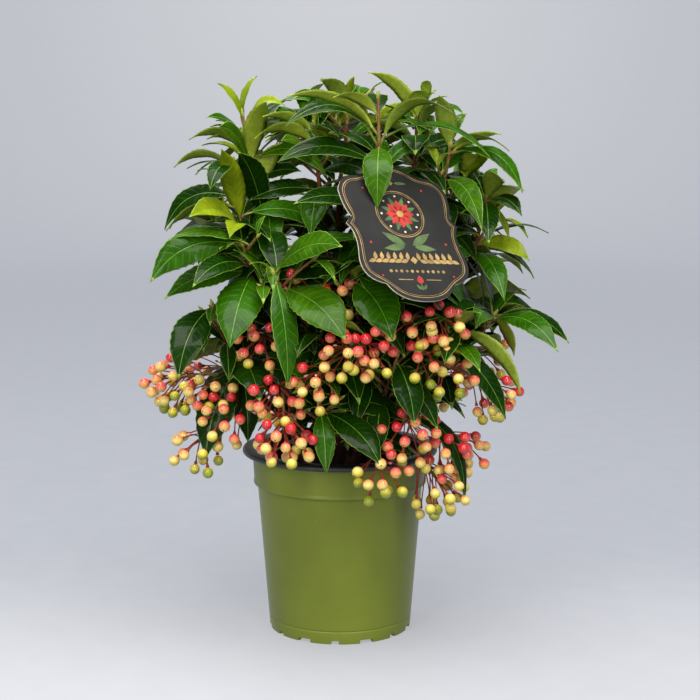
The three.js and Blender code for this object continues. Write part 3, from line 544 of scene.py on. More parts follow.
def axes_of(name, seed):
    """The axes of a mass: its shoot, then side twigs that leave it to either side, those of the source
    first. Gives the crown's way out there, the axes, and how many of them the source has."""
    curve, _ = shoots()[name]
    _, _, tip, twigs, *_ = MASSES[name]
    outward = math.degrees(math.atan2(tip[1], tip[0]))
    length = max(TWIG.share * length_of(curve), TWIG.least)
    axes = [curve]
    for i in range(TWIG.count if twigs else 0):
        foot = along(curve, 0.4 + 0.25 * i)
        turn = TWIG.turn * (-1) ** i + 30 * (chance(seed, i) - 0.5)
        tip = foot + bearing(outward + turn, TWIG.rise) * length * (1 if i < twigs else 0.7)
        axes.append(np.stack([foot, (foot + tip) / 2 + 0.04 * length * UP, tip]))
    return outward, axes, 1 + twigs


def front_droop(heading):
    """By how many degrees leaves hang more, the more they face the front, so that they show their
    upper sides there."""
    return LEAF.front_droop * np.maximum(0, -np.sin(np.radians(heading)))


def ruled_leaf(i, count, axes, outward, seed):
    """The source's rule for a leaf that no row names: places and headings fan out by the golden part
    about the crown's way out, and a leaf rises the more the nearer its foot is to the tip. Leaves past
    the source's count also sit lower on the shoot, and those that face the front hang a little. Tones
    go from 0, old and dark, to 3, young: higher leaves and those near a shoot's tip are younger."""
    place = mix(0.35 if i < count else 0.1, 1, part(i * GOLDEN_PART + chance(seed, 50)))
    heading = outward + 310 * (part(i * GOLDEN_PART * GOLDEN_PART + chance(seed, 51)) - 0.5)
    rise = mix(-18, 52, place) + 24 * (chance(seed, 60 + i) - 0.5) - front_droop(heading)
    foot = along(axes[i % len(axes)], place) + LEAF.root * bearing(heading, rise)
    high = smooth(190, 340, foot[2])
    length = LEAF.length * (0.8 + 0.36 * chance(seed, 90 + i)) * mix(1, 0.8, high)
    width = length * mix(*LEAF.width_ratios, high)
    arch = 0.1 + 0.14 * chance(seed, 120 + i)
    roll = 44 * (chance(seed, 150 + i) - 0.5) + LEAF.outward * math.sin(math.radians(heading - outward))
    age = 0.5 * smooth(190, 345, foot[2]) + 0.3 * place + 0.55 * (chance(seed, 200 + i) - 0.5)
    tone = np.searchsorted([0.34, 0.6, 0.8], age)
    return [*foot, heading, rise, length, width, arch, roll, tone, 0]


def mass_leaves(name, seed, share, tuft):
    """A mass's leaves as rows: foot x, y, z, heading, rise, length, width, arch, roll, tone, shown.
    First the rows that show most, then those by rule, then a tuft of young ones at every tip."""
    *_, count, show = MASSES[name]
    outward, axes, sources = axes_of(name, seed)
    rows = []
    for place, heading, rise, *shape in show:
        foot = along(axes[0], place) + LEAF.root * bearing(heading, rise)
        rows.append([*foot, heading, rise, *shape, 1])
    for i in range(round(count * share)):
        rows.append(ruled_leaf(i, count, axes[:sources] if i < count else axes, outward, seed))
    for k, axis in enumerate(axes):
        tip = along(axis, 1)
        for i in range(tuft):
            number = 10 * k + i
            heading = outward + GOLDEN_TURN * i + 90 * chance(seed, 300 + number)
            hang = 2 * front_droop(heading) * (1 - smooth(280, 330, tip[2]))
            rise = 18 + 46 * chance(seed, 340 + number) - hang
            length = 15 + 17 * chance(seed, 380 + number)
            tone = YOUNG if chance(seed, 420 + number) < 0.35 * smooth(150, 330, tip[2]) else YOUNG - 1
            rows.append([*tip, heading, rise, length, 0.31 * length, 0.16, 0, tone, 0])
    return np.array(rows, float)


def leaf_spines(rows, places):
    """Each leaf's spine: a quadratic arch over the chord from its foot, its middle point lifted by
    2 x arch x length."""
    foot, length, arch = rows[:, :3], rows[:, [LENGTH]], rows[:, [ARCH]]
    chord, lift = (bearing(rows[:, HEADING], rows[:, RISE] + more) for more in (0, 90))
    middle = foot + chord * length / 2 + 2 * lift * arch * length
    return along(np.stack([foot, middle, foot + chord * length], axis=1)[:, None], places)


def label_frame():
    """The label's unit vectors across, up and out of its face, its centre, and its eye on the shoot."""
    eye = along(shoots()["top_front"][0], LABEL.eye_at)
    across = bearing(LABEL.yaw, -LABEL.dip)
    level = unit(np.cross(across, UP))
    upward = about(np.cross(level, across), across, -math.radians(LABEL.lean))
    centre = eye + LABEL.stand * level - (LABEL.half_height + LABEL.reach) * upward
    return across, upward, np.cross(across, upward), centre, eye


def crosses_label(points):
    """Whether leaves, sampled as n x k x 3 points, pass through the label or stand before its face as
    seen from the front."""
    across, upward, out, centre, _ = label_frame()
    offset, sight = points - centre, CAMERA.place - points
    depth = offset @ out
    landed = offset - sight * (depth / (sight @ out))[..., None]
    face = np.stack([across, upward], axis=-1)
    before = (np.abs(landed @ face) < LABEL.hides).all(axis=-1) & (depth > -1)
    near = (np.abs(offset @ face) < LABEL.clear).all(axis=-1) & (np.abs(depth) < LABEL.gap)
    return (before | near).any(axis=1)


def crown_share(points):
    """How far out points lie in the crown's ellipsoid: the sum of ((p - centre) / radius)^2."""
    return (((points - CROWN.centre) / CROWN.radii) ** 2).sum(axis=-1)


def within_reach(points, keep):
    """Whether leaves keep to the crown: their points inside its ellipsoid and the frame's box, and
    above the pot's rim. Rows to keep may leave the ellipsoid."""
    height = points[..., 2]
    clear = (np.hypot(points[..., 0], points[..., 1]) > RIM.radius + 1) | (height > RIM.top + 1)
    inside = (crown_share(points) < CROWN.share) & clear & (height > CROWN.lowest) & (height < CROWN.highest)
    low, high = np.array(CAD_BOX) / MM
    boxed = ((points > low - CROWN.spare) & (points < high + CROWN.spare)).all(axis=(1, 2))
    return (inside.all(axis=1) | keep) & boxed


def front_view(points):
    """Points as seen from the front: x and z on the plane of the stems, and how far away they lie."""
    eye = CAMERA.place
    away = points.reshape(-1, 3) - eye
    return eye[[0, 2]] + away[:, [0, 2]] / away[:, 1:2] * -eye[1], away[:, 1]


def hides_shown(points):
    """Whether leaves by rule would hide, from the front, those that rows name or the berries, with two
    or more of their sample points, or would close a gap through which the sky shows."""
    flat, depth = front_view(points)
    flat_shown, depth_shown = front_view(shown_points())
    close = np.linalg.norm(flat[:, None] - flat_shown, axis=-1) < LEAF.sight
    before = (close & (depth[:, None] < depth_shown)).any(axis=1)
    open_to = np.linalg.norm(flat[:, None] - SKY[:, :2], axis=-1) < SKY[:, 2] + LEAF.sky_margin
    before, closes = (hit.reshape(points.shape[:2]) for hit in (before, open_to.any(axis=1)))
    return (before.sum(axis=1) >= 2) | closes.any(axis=1)


@functools.cache
def shown_points():
    """Sample points of every leaf that the rows of the masses name, and the berries of the front."""
    rows = [mass_leaves(name, seed, 0, 0) for seed, name in enumerate(MASSES) if MASSES[name][-1]]
    spines = leaf_spines(np.concatenate(rows), np.linspace(0.3, 1, 6)).reshape(-1, 3)
    spots = np.concatenate([spots for _, _, spots, *_ in umbels()])
    return np.concatenate([spines, spots[spots[:, 1] < 0]])


def free(rows):
    """The rows that keep to the crown and, unless a mass names them, leave the label and what shows
    from the front uncovered."""
    points = leaf_spines(rows, LEAF.samples)
    keep = rows[:, SHOWN] > 0
    return rows[within_reach(points, keep) & (keep | ~(crosses_label(points) | hides_shown(points)))]


@functools.cache
def leaves(piece, share, tuft):
    """The rows of the leaves of a piece of foliage."""
    seeds = list(MASSES)
    rows = [mass_leaves(name, seeds.index(name), share, tuft) for name in FOLIAGE[piece]]
    return free(np.concatenate(rows))


def inner_leaves():
    """The rows of the old, dark leaves that line stems, boughs and shoots: one at every step of a limb,
    each a golden turn on from the last, as far as the inner part of the crown holds them."""
    rows = []
    axes = [limb[:2] for limb in limbs().values()] + [(curve, SHOOT.radii) for curve, _ in shoots().values()]
    for seed, (curve, radii) in enumerate(axes):
        count = round(length_of(curve) / INNER.step)
        i = np.arange(count)
        place = (i + 0.5) / count
        heading = GOLDEN_TURN * i + 360 * chance(seed, 500)
        rise = mix(-6, 34, place) + 24 * (chance(seed, 520 + i) - 0.5) - front_droop(heading)
        foot = along(curve, place) + mix(*radii, place)[:, None] * bearing(heading, rise)
        length = INNER.length * (0.8 + 0.4 * chance(seed, 560 + i))
        shape = [length, INNER.width_ratio * length, 0.1 + 0.1 * chance(seed, 600 + i)]
        rows.append(np.column_stack([foot, heading, rise, *shape, np.zeros((count, 3))]))
    rows = free(np.concatenate(rows))
    return rows[crown_share(leaf_spines(rows, LEAF.samples)).max(axis=1) < INNER.share]


def leaf_rings(rows, teeth, seed):
    """Cross sections n x rings x 11 x 3 of leaves, and their UV map (place across, place along).

    Half the width follows s^0.8 (1-s)^0.95, drawn in towards the point, and loses a tooth's depth at
    every second ring. Heights across follow fold |x| - bend x^2 with a sunken rib in the middle."""
    columns = (HEADING, LENGTH, WIDTH, ROLL, TONE, SHOWN)
    heading, length, width, roll, tone, shown = (rows[:, [column]] for column in columns)
    luck = [chance(seed + np.arange(len(rows)), k)[:, None] for k in range(5)]
    # Places along the leaf: t from the petiole's foot, s along the blade alone
    blade = np.linspace(0, 1, 2 * teeth + 1)
    stalk = np.linspace(0, 1, LEAF.petiole_rings, endpoint=False)
    t = np.concatenate([LEAF.petiole_share * stalk, mix(LEAF.petiole_share, 1, blade)])
    s = np.concatenate([0 * stalk, blade])
    # The spine droops at its end, and the blade twists about it
    droop = np.where(shown, 0.1, 0.1 + 0.35 * luck[0]) * length * np.clip(t - 0.55, 0, 1) ** 2
    spine = leaf_spines(rows, t) - droop[..., None] * UP
    direction = unit(np.gradient(spine, axis=1))
    flat = bearing(heading + 90, 0)
    twist = np.radians(roll + 26 * (luck[1] - 0.5) * (t - 0.3))
    side = about(unit(flat - direction * dot(flat, direction)), direction, twist)
    above = np.cross(direction, side)
    # Half widths, then the eleven places across: over the upper side from left to right and back below
    profile = s ** 0.8 * (1 - s) ** 0.95
    profile = profile / profile.max() * (1 - 0.3 * smooth(0.72, 1, s))
    notch = np.where(np.arange(len(t)) % 2 == LEAF.petiole_rings % 2, 0, LEAF.tooth)
    half = np.maximum(width / 2 * profile * (1 - notch * (profile > 0.1)), 0)
    stem = LEAF.petiole_half * np.minimum(1, width / 12)
    half = np.maximum(half, stem * (1 - 0.72 * smooth(0.1, 1, s)))
    rim = np.minimum(LEAF.rim, 0.25 * half)
    rib = np.minimum(LEAF.rib * (1 - 0.55 * s), 0.3 * half)
    middle = rib + 0.5 * (half - rim - rib)
    x = [half, half - rim, middle, rib, -rib, -middle, rim - half, -half, -middle, 0 * half, middle]
    x, half = np.stack(x, axis=-1), half[..., None]
    # Heights: the fold along the midrib, the bend of each half, a wave in the margin, and the thickness
    blading = smooth(0, 0.12, s)[:, None]
    fold = np.where(tone == YOUNG, 0.42, 0.16 + 0.2 * luck[2])[..., None] * blading
    bend = np.where(tone == YOUNG, 0.5, 0.85 + 0.5 * luck[3])[..., None] * fold
    reach = np.abs(x) / half
    wave = 0.05 * np.sin(2 * np.pi * (2.6 * s + luck[4]))[..., None] * np.where(x > 0, 1, -0.8)
    y = half * (fold * reach - bend * reach**2 + wave * reach**2 * blading)
    y = y - LEAF.rib_sunk * np.array([0, 0, 0, 1, 1, 0, 0, 0, 0, 0, 0]) * blading
    y = y - np.array([0, 0, 0, 0, 0, 0, 0, 0, 1, 1.6, 1]) * mix(1.3 * stem[..., None], LEAF.thick, blading)
    rings = spine[:, :, None] + side[:, :, None] * x[..., None] + above[:, :, None] * y[..., None]
    return rings, np.stack([0.5 + 0.5 * x / half, np.broadcast_to(s[:, None], x.shape)], axis=-1)


def leaf_slots(rows, rings, seed):
    """Material slots of a leaf's cells: rim, blade, rib and underside across, the petiole's at its
    foot, and the rim's at the point of some leaves."""
    blade = rows[:, TONE].astype(int)
    rim, rib, under = RIM_SLOT + 0 * blade, RIB_SLOT + 0 * blade, UNDERSIDES[blade]
    across = np.stack([rim, blade, blade, rib, blade, blade, rim, under, under, under, under], axis=-1)
    slots = np.repeat(across[:, None], rings - 1, axis=1)
    slots[:, : LEAF.petiole_rings] = STALK_SLOT
    tipped = chance(seed + np.arange(len(rows)), 7) < 0.6
    last = max(1, (rings - 1) // 14)
    slots[np.ix_(tipped, range(rings - 1 - last, rings - 1), range(7))] = RIM_SLOT
    return slots


@functools.cache
def umbels():
    """Every umbel: its stalk's curve, the point inside the limb, its berries' places and the roots of
    their pedicels, its ripeness and its seed."""
    grown = []
    for number, (on, place, *rows) in enumerate(FRUIT.values()):
        foot, point = side_root(limbs()[on], place, rows[0][0], STALK.root, arching)
        main = arching(foot, rows[0][0])
        for k, (centre, count, ripeness) in enumerate(rows):
            stalk, inside = (arching(along(main, 0.55), centre), along(main, 0.5)) if k else (main, point)
            seed = number * 10 + k
            spots = umbel(centre, tangent(stalk, 1), count, seed)
            roots = along(stalk, 1 - BERRY.along * np.arange(count) / count)
            grown.append((stalk, inside, spots, roots, ripeness, seed))
    return grown


def umbel(centre, axis, count, seed):
    """Berries round an umbel's centre: even directions in a cone about the stalk's own, drawn down a
    little by weight, then pushed apart until no two of them touch."""
    across = unit(np.cross(UP, axis))
    upward = np.cross(axis, across)
    i = np.arange(count)
    opening = np.arccos(1 - (i + 0.5) / count * (1 - math.cos(math.radians(BERRY.spread))))
    turn = np.radians(i * GOLDEN_TURN + 360 * chance(seed, 0))[:, None]
    reach = (BERRY.reach + BERRY.more * count) * (0.78 + 0.35 * chance(seed, i + 1))
    spots = np.array(centre, float) + (reach * np.cos(opening))[:, None] * axis
    spots = spots + (reach * np.sin(opening))[:, None] * (np.cos(turn) * across + np.sin(turn) * upward)
    spots[:, 2] -= BERRY.sag * reach * (1 - 0.5 * np.abs(np.cos(opening)))
    for _ in range(BERRY.push):
        apart = spots[:, None] - spots
        between = np.linalg.norm(apart, axis=-1)
        push = np.where(between < BERRY.space, 0.5 * (BERRY.space - between), 0)
        np.fill_diagonal(push, 0)
        spots = spots + (apart * (push / np.maximum(between, TINY))[..., None]).sum(axis=1)
    return spots


def berry_rings(spots, ways, radii, rings, sides):
    """Globes as rings from pole to pole: centre - r cos a along the way + 0.97 r sin a about it."""
    angle = np.linspace(0.12, np.pi - 0.13, rings)[:, None, None]
    across, upward = (axis[:, None, None] for axis in square_to(ways))
    turn = circle(sides)[:, None]
    radii = radii[:, None, None, None]
    middle = spots[:, None, None] - radii * np.cos(angle) * ways[:, None, None]
    return middle + 0.97 * radii * np.sin(angle) * (np.cos(turn) * across + np.sin(turn) * upward)


def pedicels(spots, roots):
    """Quadratic curves of the pedicels: the middle point lies above the chord's by a tenth of it."""
    span = np.linalg.norm(spots - roots, axis=-1, keepdims=True)
    return np.stack([roots, (spots + roots) / 2 + PEDICEL.arch * span * UP, spots], axis=1)


# Three shades of each tone of leaf blade and what the tone adds to the roughness of the skin
BLADES = {
    "leaf old": ("#0b2602", "#143504", "#2a5210", 0),
    "leaf grown": ("#1c4402", "#2a5a03", "#4d7c16", 0),
    "leaf fresh": ("#264c02", "#376104", "#5f8a1c", 0.03),
    "leaf young": ("#6a7f0e", "#889916", "#a6b23c", 0.08),
}
# Two shades and the roughness of the small green and red organs
ORGANS = {
    "leaf underside dark": ("#7a922a", "#90a63a", 0.5),
    "leaf underside light": ("#9eb336", "#b2c446", 0.48),
    "leaf midrib": ("#4c7a18", "#66922c", 0.4),
    "leaf margin": ("#5e8820", "#86a83a", 0.4),
    "leaf stalk": ("#7c8a3e", "#8d7a48", 0.45),
    "young twig": ("#84502e", "#7e7638", 0.5),
    "bud": ("#8d8a3c", "#b4b45c", 0.5),
    "berry style": ("#2a1410", "#4a241c", 0.5),
    "stalk": ("#6b6a34", "#8a7a40", 0.45),
    "pedicel": ("#7c2219", "#a23a2a", 0.4),
    "pedicel bud": ("#d9838a", "#edb0a8", 0.4),
}
# The label's inks and edge: two shades, the scale of their blotches and the roughness
INKS = {
    "card edge": ("#d9d4c6", "#efeadc", 300, 0.6),
    "red ink": ("#9c2a2a", "#bf3b35", 160, 0.45),
    "green ink": ("#465a38", "#5c7546", 160, 0.45),
    "pale ink": ("#cfc09a", "#e3d8b8", 160, 0.45),
}
RIPENESS = ("#98a81e", "#e4d444", "#f8e084", "#f4a462", "#e85a57", "#d0242f")
STAGES = ("lime", "yellow", "cream", "peach", "coral")


def hue(colour):
    """Linear red, green, blue and alpha of a colour: a code in hexadecimal sRGB, or three numbers that
    are linear already."""
    if isinstance(colour, str):
        shares = [int(colour[i : i + 2], 16) / 255 for i in (1, 3, 5)]
        colour = [c / 12.92 if c <= 0.04045 else ((c + 0.055) / 1.055) ** 2.4 for c in shares]
    return (*colour[:3], 1.0)


def shades_of(colour, *shares):
    """Darker and brighter takes of a linear colour, one for each share of its strength."""
    return [tuple(part * share for part in colour) for share in shares]


class Signal:
    """A number that varies over a surface; arithmetic on it adds Math nodes."""

    def __init__(self, paint, socket):
        self.paint, self.socket = paint, socket

    def math(self, operation, *values):
        return self.paint.node("Math", {"operation": operation}, dict(enumerate(values)))

    def __add__(self, other):
        return self.math("ADD", self, other)

    def __sub__(self, other):
        return self.math("SUBTRACT", self, other)

    def __rsub__(self, other):
        return self.math("SUBTRACT", other, self)

    def __mul__(self, other):
        return self.math("MULTIPLY", self, other)

    def __abs__(self):
        return self.math("ABSOLUTE", self)

    __radd__, __rmul__ = __add__, __mul__


class Paint:
    """A material made by one method for its nodes; constants are set on the shader's own sockets."""

    def __init__(self, name, **constants):
        self.material = bpy.data.materials.new(name)
        self.material.use_nodes = True
        self.tree = self.material.node_tree
        self.shader = self.tree.nodes["Principled BSDF"]
        self.surface(**constants)

    def node(self, kind, settings, inputs, output=0):
        """Adds a node: its settings first, a ramp's stops among them, then its sockets' values."""
        made = self.tree.nodes.new("ShaderNode" + kind)
        settings = dict(settings)
        for i, (place, colour) in enumerate(settings.pop("stops", [])):
            elements = made.color_ramp.elements
            stop = elements[i] if i < len(elements) else elements.new(place)
            stop.position, stop.color = place, hue(colour)
        for key, value in settings.items():
            setattr(made, key, value)
        for key, value in inputs.items():
            self.feed(made.inputs[key], value)
        return Signal(self, made.outputs[output])

    def feed(self, socket, value):
        if isinstance(value, Signal):
            self.tree.links.new(value.socket, socket)
        else:
            socket.default_value = hue(value) if isinstance(value, str) else value

    def surface(self, **inputs):
        """Feeds the shader's sockets, which are named here in small letters; gives the material."""
        sockets = {socket.name.lower().replace(" ", "_"): socket for socket in self.shader.inputs}
        for key, value in inputs.items():
            self.feed(sockets[key], value)
        return self.material

    def place(self):
        return self.node("TexCoord", {}, {}, "Object")

    def coordinate(self, axis):
        """The place along one axis of the object's own space."""
        return self.node("SeparateXYZ", {}, {"Vector": self.place()}, axis)

    def uv(self, axis):
        """The surface's own coordinate: across it for axis 0, along it for axis 1."""
        return self.node("SeparateXYZ", {}, {"Vector": self.node("UVMap", {"uv_map": "surface"}, {})}, axis)

    def noise(self, scale, detail=3.0, roughness=0.5, stretch=(1, 1, 1)):
        """Noise over the object's own space, stretched along its axes."""
        where = self.node("Mapping", {}, {"Vector": self.place(), "Scale": stretch})
        sizes = {"Vector": where, "Scale": scale, "Detail": detail, "Roughness": roughness}
        return self.node("TexNoise", {}, sizes)

    def ramp(self, value, *stops):
        """A grey or a colour that follows a value through the stops."""
        return self.node("ValToRGB", {"stops": stops}, {"Fac": value})

    def blotches(self, value, spread, dark, light):
        """From the dark to the light shade while the value rises past the middle by the spread."""
        return self.ramp(value, (0.5 - spread, dark), (0.5 + spread, light))

    def step(self, low, high, value):
        """0 below low, 1 above high and smooth between."""
        settings = {"interpolation_type": "SMOOTHSTEP"}
        return self.node("MapRange", settings, {"Value": value, "From Min": low, "From Max": high})

    def blend(self, share, first, second):
        """Two colours mixed by a share."""
        return self.node("Mix", {"data_type": "RGBA"}, {"Factor": share, 6: first, 7: second}, 2)

    def bump(self, height, distance, strength=1.0):
        return self.node("Bump", {}, {"Height": height, "Distance": distance, "Strength": strength})


def blade_paint(name, dark, light, vein, roughness):
    """Leaf blade: two shades in soft blotches, paler side veins that leave the midrib at a slant and
    lie a little low, and a satin to glossy skin."""
    paint = Paint(name, specular_ior_level=0.05, coat_weight=0.12, coat_roughness=0.08)
    out = abs(paint.uv(0) - 0.5) * 2
    wave = paint.node("Math", {"operation": "PINGPONG"}, {0: (paint.uv(1) - out * 0.13) * 11, 1: 0.5})
    line = 1 - paint.step(0.0, 0.16, wave)
    line = line * paint.step(0.08, 0.2, out) * (1 - paint.step(0.72, 0.9, out))
    colour = paint.blend(line * 0.3, paint.blotches(paint.noise(95, 4), 0.14, dark, light), vein)
    fine = paint.noise(900, 2)
    normal = paint.bump(paint.noise(110, 1) * 4 + fine * 0.2 - line, 0.00022, 0.6)
    return paint.surface(base_color=colour, normal=normal, roughness=roughness + fine * 0.12)


def organ_paint(name):
    """Midrib, margin, underside, stalk or bud: two close shades in fine blotches, with a fine grain."""
    dark, light, roughness = ORGANS[name]
    paint = Paint(name, roughness=roughness, specular_ior_level=0.4)
    grain = paint.noise(420, 3)
    colour = paint.blotches(grain, 0.12, dark, light)
    return paint.surface(base_color=colour, normal=paint.bump(grain, 0.0002, 0.5))


def leaf_paints(look):
    """The slots of a leaf: four blade tones, two undersides, midrib, margin and stalk."""
    rough = look.gloss_roughness
    blades = [blade_paint(name, *shades, rough + more) for name, (*shades, more) in BLADES.items()]
    return blades + [organ_paint(name) for name in ORGANS if name.startswith("leaf")]


def berry_paint(number):
    """Skin of a berry between two stages of ripeness, which its UV map mixes; waxy, thin and bright."""
    waxy = {"roughness": 0.16, "coat_weight": 0.35, "coat_roughness": 0.06}
    paint = Paint(f"berry {STAGES[number]}", subsurface_weight=0.12, subsurface_scale=0.002, **waxy)
    share = paint.step(0.0, 1.0, paint.uv(1) + (paint.noise(700, 3) - 0.5) * 0.5)
    return paint.surface(base_color=paint.blend(share, *RIPENESS[number : number + 2]))


def plain_paint(name, dark, light, scale, roughness, **constants):
    """Two shades in blotches of a scale, with a grain of the same scale in the surface."""
    paint = Paint(name, **constants)
    colour = paint.blotches(paint.noise(scale, 4), 0.15, dark, light)
    grain = paint.noise(scale * 6, 2)
    rough = roughness + (grain - 0.5) * 0.1
    return paint.surface(base_color=colour, normal=paint.bump(grain, 0.0002, 0.6), roughness=rough)


def bark_paint(name, look, scale):
    """Bark: streaks drawn out along the limb, darker in the cracks, and painted shade that darkens it
    towards near black low down under the crown, with a matte rough skin."""
    paint = Paint(name, specular_ior_level=0.3)
    streak = paint.noise(scale, 5, 0.6, (1, 1, 0.25))
    grain = paint.noise(scale * 4, 3, 0.6, (1, 1, 0.5))
    # painted shade: below 0.24 m the bark is mixed towards near black #140a06, darkest below 0.12 m, for the
    # shade under the crown
    foot = paint.step(0.24, 0.12, paint.coordinate(2))
    colour = paint.blend(foot * 0.8, paint.blotches(streak, 0.18, look.dark, look.light), "#140a06")
    normal = paint.bump(streak + grain * 0.5, 0.0005, 0.8)
    return paint.surface(base_color=colour, normal=normal, roughness=0.6 + grain * 0.2)


def pot_paint(look):
    """Moulded olive green plastic: faint cloudy shades, a fine satin grain and a few pale scuffs."""
    paint = Paint("pot plastic", specular_ior_level=0.28)
    cloud = paint.noise(16, 4)
    colour = paint.blotches(cloud, 0.15, *shades_of(look.colour, 0.9, 1.1))
    fleck = paint.step(0.74, 0.78, paint.noise(420, 2))
    patch = paint.step(0.5, 0.62, paint.noise(26, 2))
    colour = paint.blend(fleck * patch * 0.35, colour, "#c3c8a4")
    normal = paint.bump(paint.noise(2600, 2) + cloud * 0.6, 0.00006, 0.7)
    rough = look.roughness + (cloud - 0.5) * 0.12 + fleck * 0.1
    return paint.surface(base_color=colour, normal=normal, roughness=rough)


def soil_paint():
    """Dark peat with brown fibres and pale grains."""
    paint = Paint("peat", specular_ior_level=0.25)
    lump = paint.noise(240, 6, 0.65)
    colour = paint.ramp(lump, (0.3, "#120c08"), (0.55, "#33241a"), (0.78, "#6b543c"))
    return paint.surface(base_color=colour, normal=paint.bump(lump, 0.0015), roughness=0.85 + lump * 0.1)


def card_paint(look):
    """Printed card: charcoal ink with a faint mottle and the card's own fine grain."""
    paint = Paint("card ink", specular_ior_level=0.25, roughness=0.55)
    colour = paint.blotches(paint.noise(60, 3), 0.15, *shades_of(look.ink, 0.82, 1.18))
    return paint.surface(base_color=colour, normal=paint.bump(paint.noise(1800, 3), 0.00006, 0.5))


def floor_paint():
    """A grey floor and backdrop with painted light: they glow, though they are no lamp, brighter in front,
    paler at a distance and palest in the middle of the far wall, a painted pool of light; their base
    colour is painted brighter in front and darker behind, as painted light and shade."""
    paint = Paint("floor", roughness=0.7, specular_ior_level=0.25, emission_strength=1.0)
    # painted light: the mask is 1 in front of the pot and 0 behind it, to brighten the floor in front
    near = paint.step(0.2, -0.2, paint.coordinate(1))
    away = paint.node("VectorMath", {"operation": "LENGTH"}, {0: paint.place()}, "Value")
    # painted light: the emission glow, brighter in front and paler at a distance
    glow = paint.blend(near, "#9c9fa7", "#adaeb2")
    glow = paint.blend(paint.step(0.6, 4.4, away), glow, "#b4b7bf")
    # painted pool of light on the middle of the far wall
    middle = paint.step(1.4, 0.0, abs(paint.coordinate(0)))
    glow = paint.blend(middle * paint.step(2.2, 4.2, away), glow, "#c8cace")
    # painted light and shade in the base colour: brighter in front, darker behind, with a faint pale mottle
    shade = paint.blend(paint.noise(40, 2) * 0.04, paint.blend(near, "#565a62", "#777a83"), "#ffffff")
    material = paint.surface(base_color=shade, emission_color=glow)
    material.cycles.emission_sampling = "NONE"
    return material


def leaf_pile(groups, seed):
    """Leaves in groups of rows, each group with its number of teeth on a leaf's side."""
    pile = Pile()
    for rows, teeth in groups:
        if len(rows):
            rings, uvs = leaf_rings(rows, teeth, seed)
            pile.loft(rings, leaf_slots(rows, rings.shape[1], seed), (STALK_SLOT, RIM_SLOT), uvs)
    return pile


def make_leaves(name, look):
    """A piece of foliage: the leaves that show with many teeth, ruled ones with fewer, young with few."""
    rows = leaves(name, look.share, look.tuft)
    shown, young = rows[:, SHOWN] > 0, rows[:, LENGTH] < LEAF.young
    groups = ((shown & ~young, look.teeth), (~shown & ~young, look.ruled_teeth), (young, look.young_teeth))
    return leaf_pile([(rows[chosen], teeth) for chosen, teeth in groups], 1000 * list(FOLIAGE).index(name))


def make_berries():
    """All berries: globes on the ends of their stalks, each face painted by its stage of ripeness and
    the stage's own share kept in the UV map. A dark end cap is what is left of the flower's style."""
    pile = Pile()
    for _, _, spots, roots, ripeness, seed in umbels():
        curves = pedicels(spots, roots)
        number = np.arange(len(spots))
        size = BERRY.radius * (0.93 + 0.14 * chance(seed, 700 + number))
        rings = berry_rings(spots, unit(curves[:, 2] - curves[:, 1]), size, BERRY.rings, BERRY.sides)
        level = (rings[..., 2] - spots[:, None, None, 2]) / BERRY.radius
        share = (spots[:, 2] - spots[:, 2].mean()) / (BERRY.reach + BERRY.more * len(spots))
        own = ripeness - 0.15 + 1.9 * share + 3 * (chance(seed, 740 + number) - 0.5)
        stage = np.clip(own[:, None, None] + BERRY.blush * level, 0.02, 4.98)
        around = (stage + np.roll(stage, -1, axis=2)) / 2
        band = np.floor((around[:, :-1] + around[:, 1:]) / 2)
        uvs, shift = (np.stack([0 * value, value], axis=-1) for value in (stage, band))
        pile.loft(rings, band.astype(int), (STYLE_SLOT, STYLE_SLOT), uvs, shift)
    return pile


def make_pedicels():
    """Stalks, with their feet inside the limbs, and a pedicel for each berry that widens to a cup under
    it; a few more pedicels are bare and end in a small bud."""
    pile = Pile()
    t = np.linspace(0, 1, PEDICEL.rings)
    cup = PEDICEL.cup * smooth(0.82, 1, t) ** 2
    bud = PEDICEL.bud * smooth(0.78, 0.9, t) * np.sqrt(1 - 0.8 * smooth(0.9, 1, t))
    number = np.arange(PEDICEL.bare)

    def hang(tips, feet, places, girth, slots, caps):
        paths = along(pedicels(tips, feet)[:, None], places)
        radii = np.broadcast_to(girth, paths.shape[:2])
        pile.loft(tubes(paths, radii, PEDICEL.sides), slots, caps)

    for stalk, inside, spots, roots, _, seed in umbels():
        path = np.concatenate([inside[None], along(stalk, np.linspace(0, 1, STALK.rings))])
        girth = mix(*STALK.radii, np.linspace(0, 1, len(path)))
        girth = girth * (1 + 0.35 * np.exp(-np.arange(len(path)) / 1.5))
        pile.tube(path, girth, STALK.sides, 0, (0, 1))
        ends = 1 - 0.9 * BERRY.radius / np.linalg.norm(spots - roots, axis=-1)
        hang(spots, roots, t * ends[:, None], PEDICEL.radius + cup, 1, (1, 1))
        across = bearing(360 * chance(seed, 800 + number), -30 + 70 * chance(seed, 820 + number))
        feet = along(stalk, 1 - 0.25 * chance(seed, 840 + number))
        tips = feet + across * (9 + 6 * chance(seed, 860 + number))[:, None]
        slots = np.where(t[1:] > 0.8, 2, 1)[None, :, None]
        hang(tips, feet, t, PEDICEL.radius * (1 - 0.3 * t) + bud, slots, (1, 2))
    return pile


def make_wood():
    """Stems with a flared foot sunk in the soil, and boughs that swell where they leave their stem."""
    pile = Pile()
    for number, (curve, radii, inside) in enumerate(limbs().values()):
        size = STEM if inside is None else BOUGH
        t = np.linspace(0, 1, size.rings)
        path = along(curve, t)
        if inside is None:
            path[0] -= STEM.sunk * UP
            girth = mix(*radii, t) + (STEM.flare - radii[0]) * (1 - t) ** 8
        else:
            path = np.concatenate([inside[None], path])
            swell = BOUGH.swell * np.exp(-((np.linalg.norm(path - inside, axis=-1) / 5) ** 2))
            girth = mix(*radii, np.concatenate([[0], t])) * (1 + swell)
        pile.tube(path, bark_relief(path, girth, size.sides, size.seed + number), size.sides)
    return pile


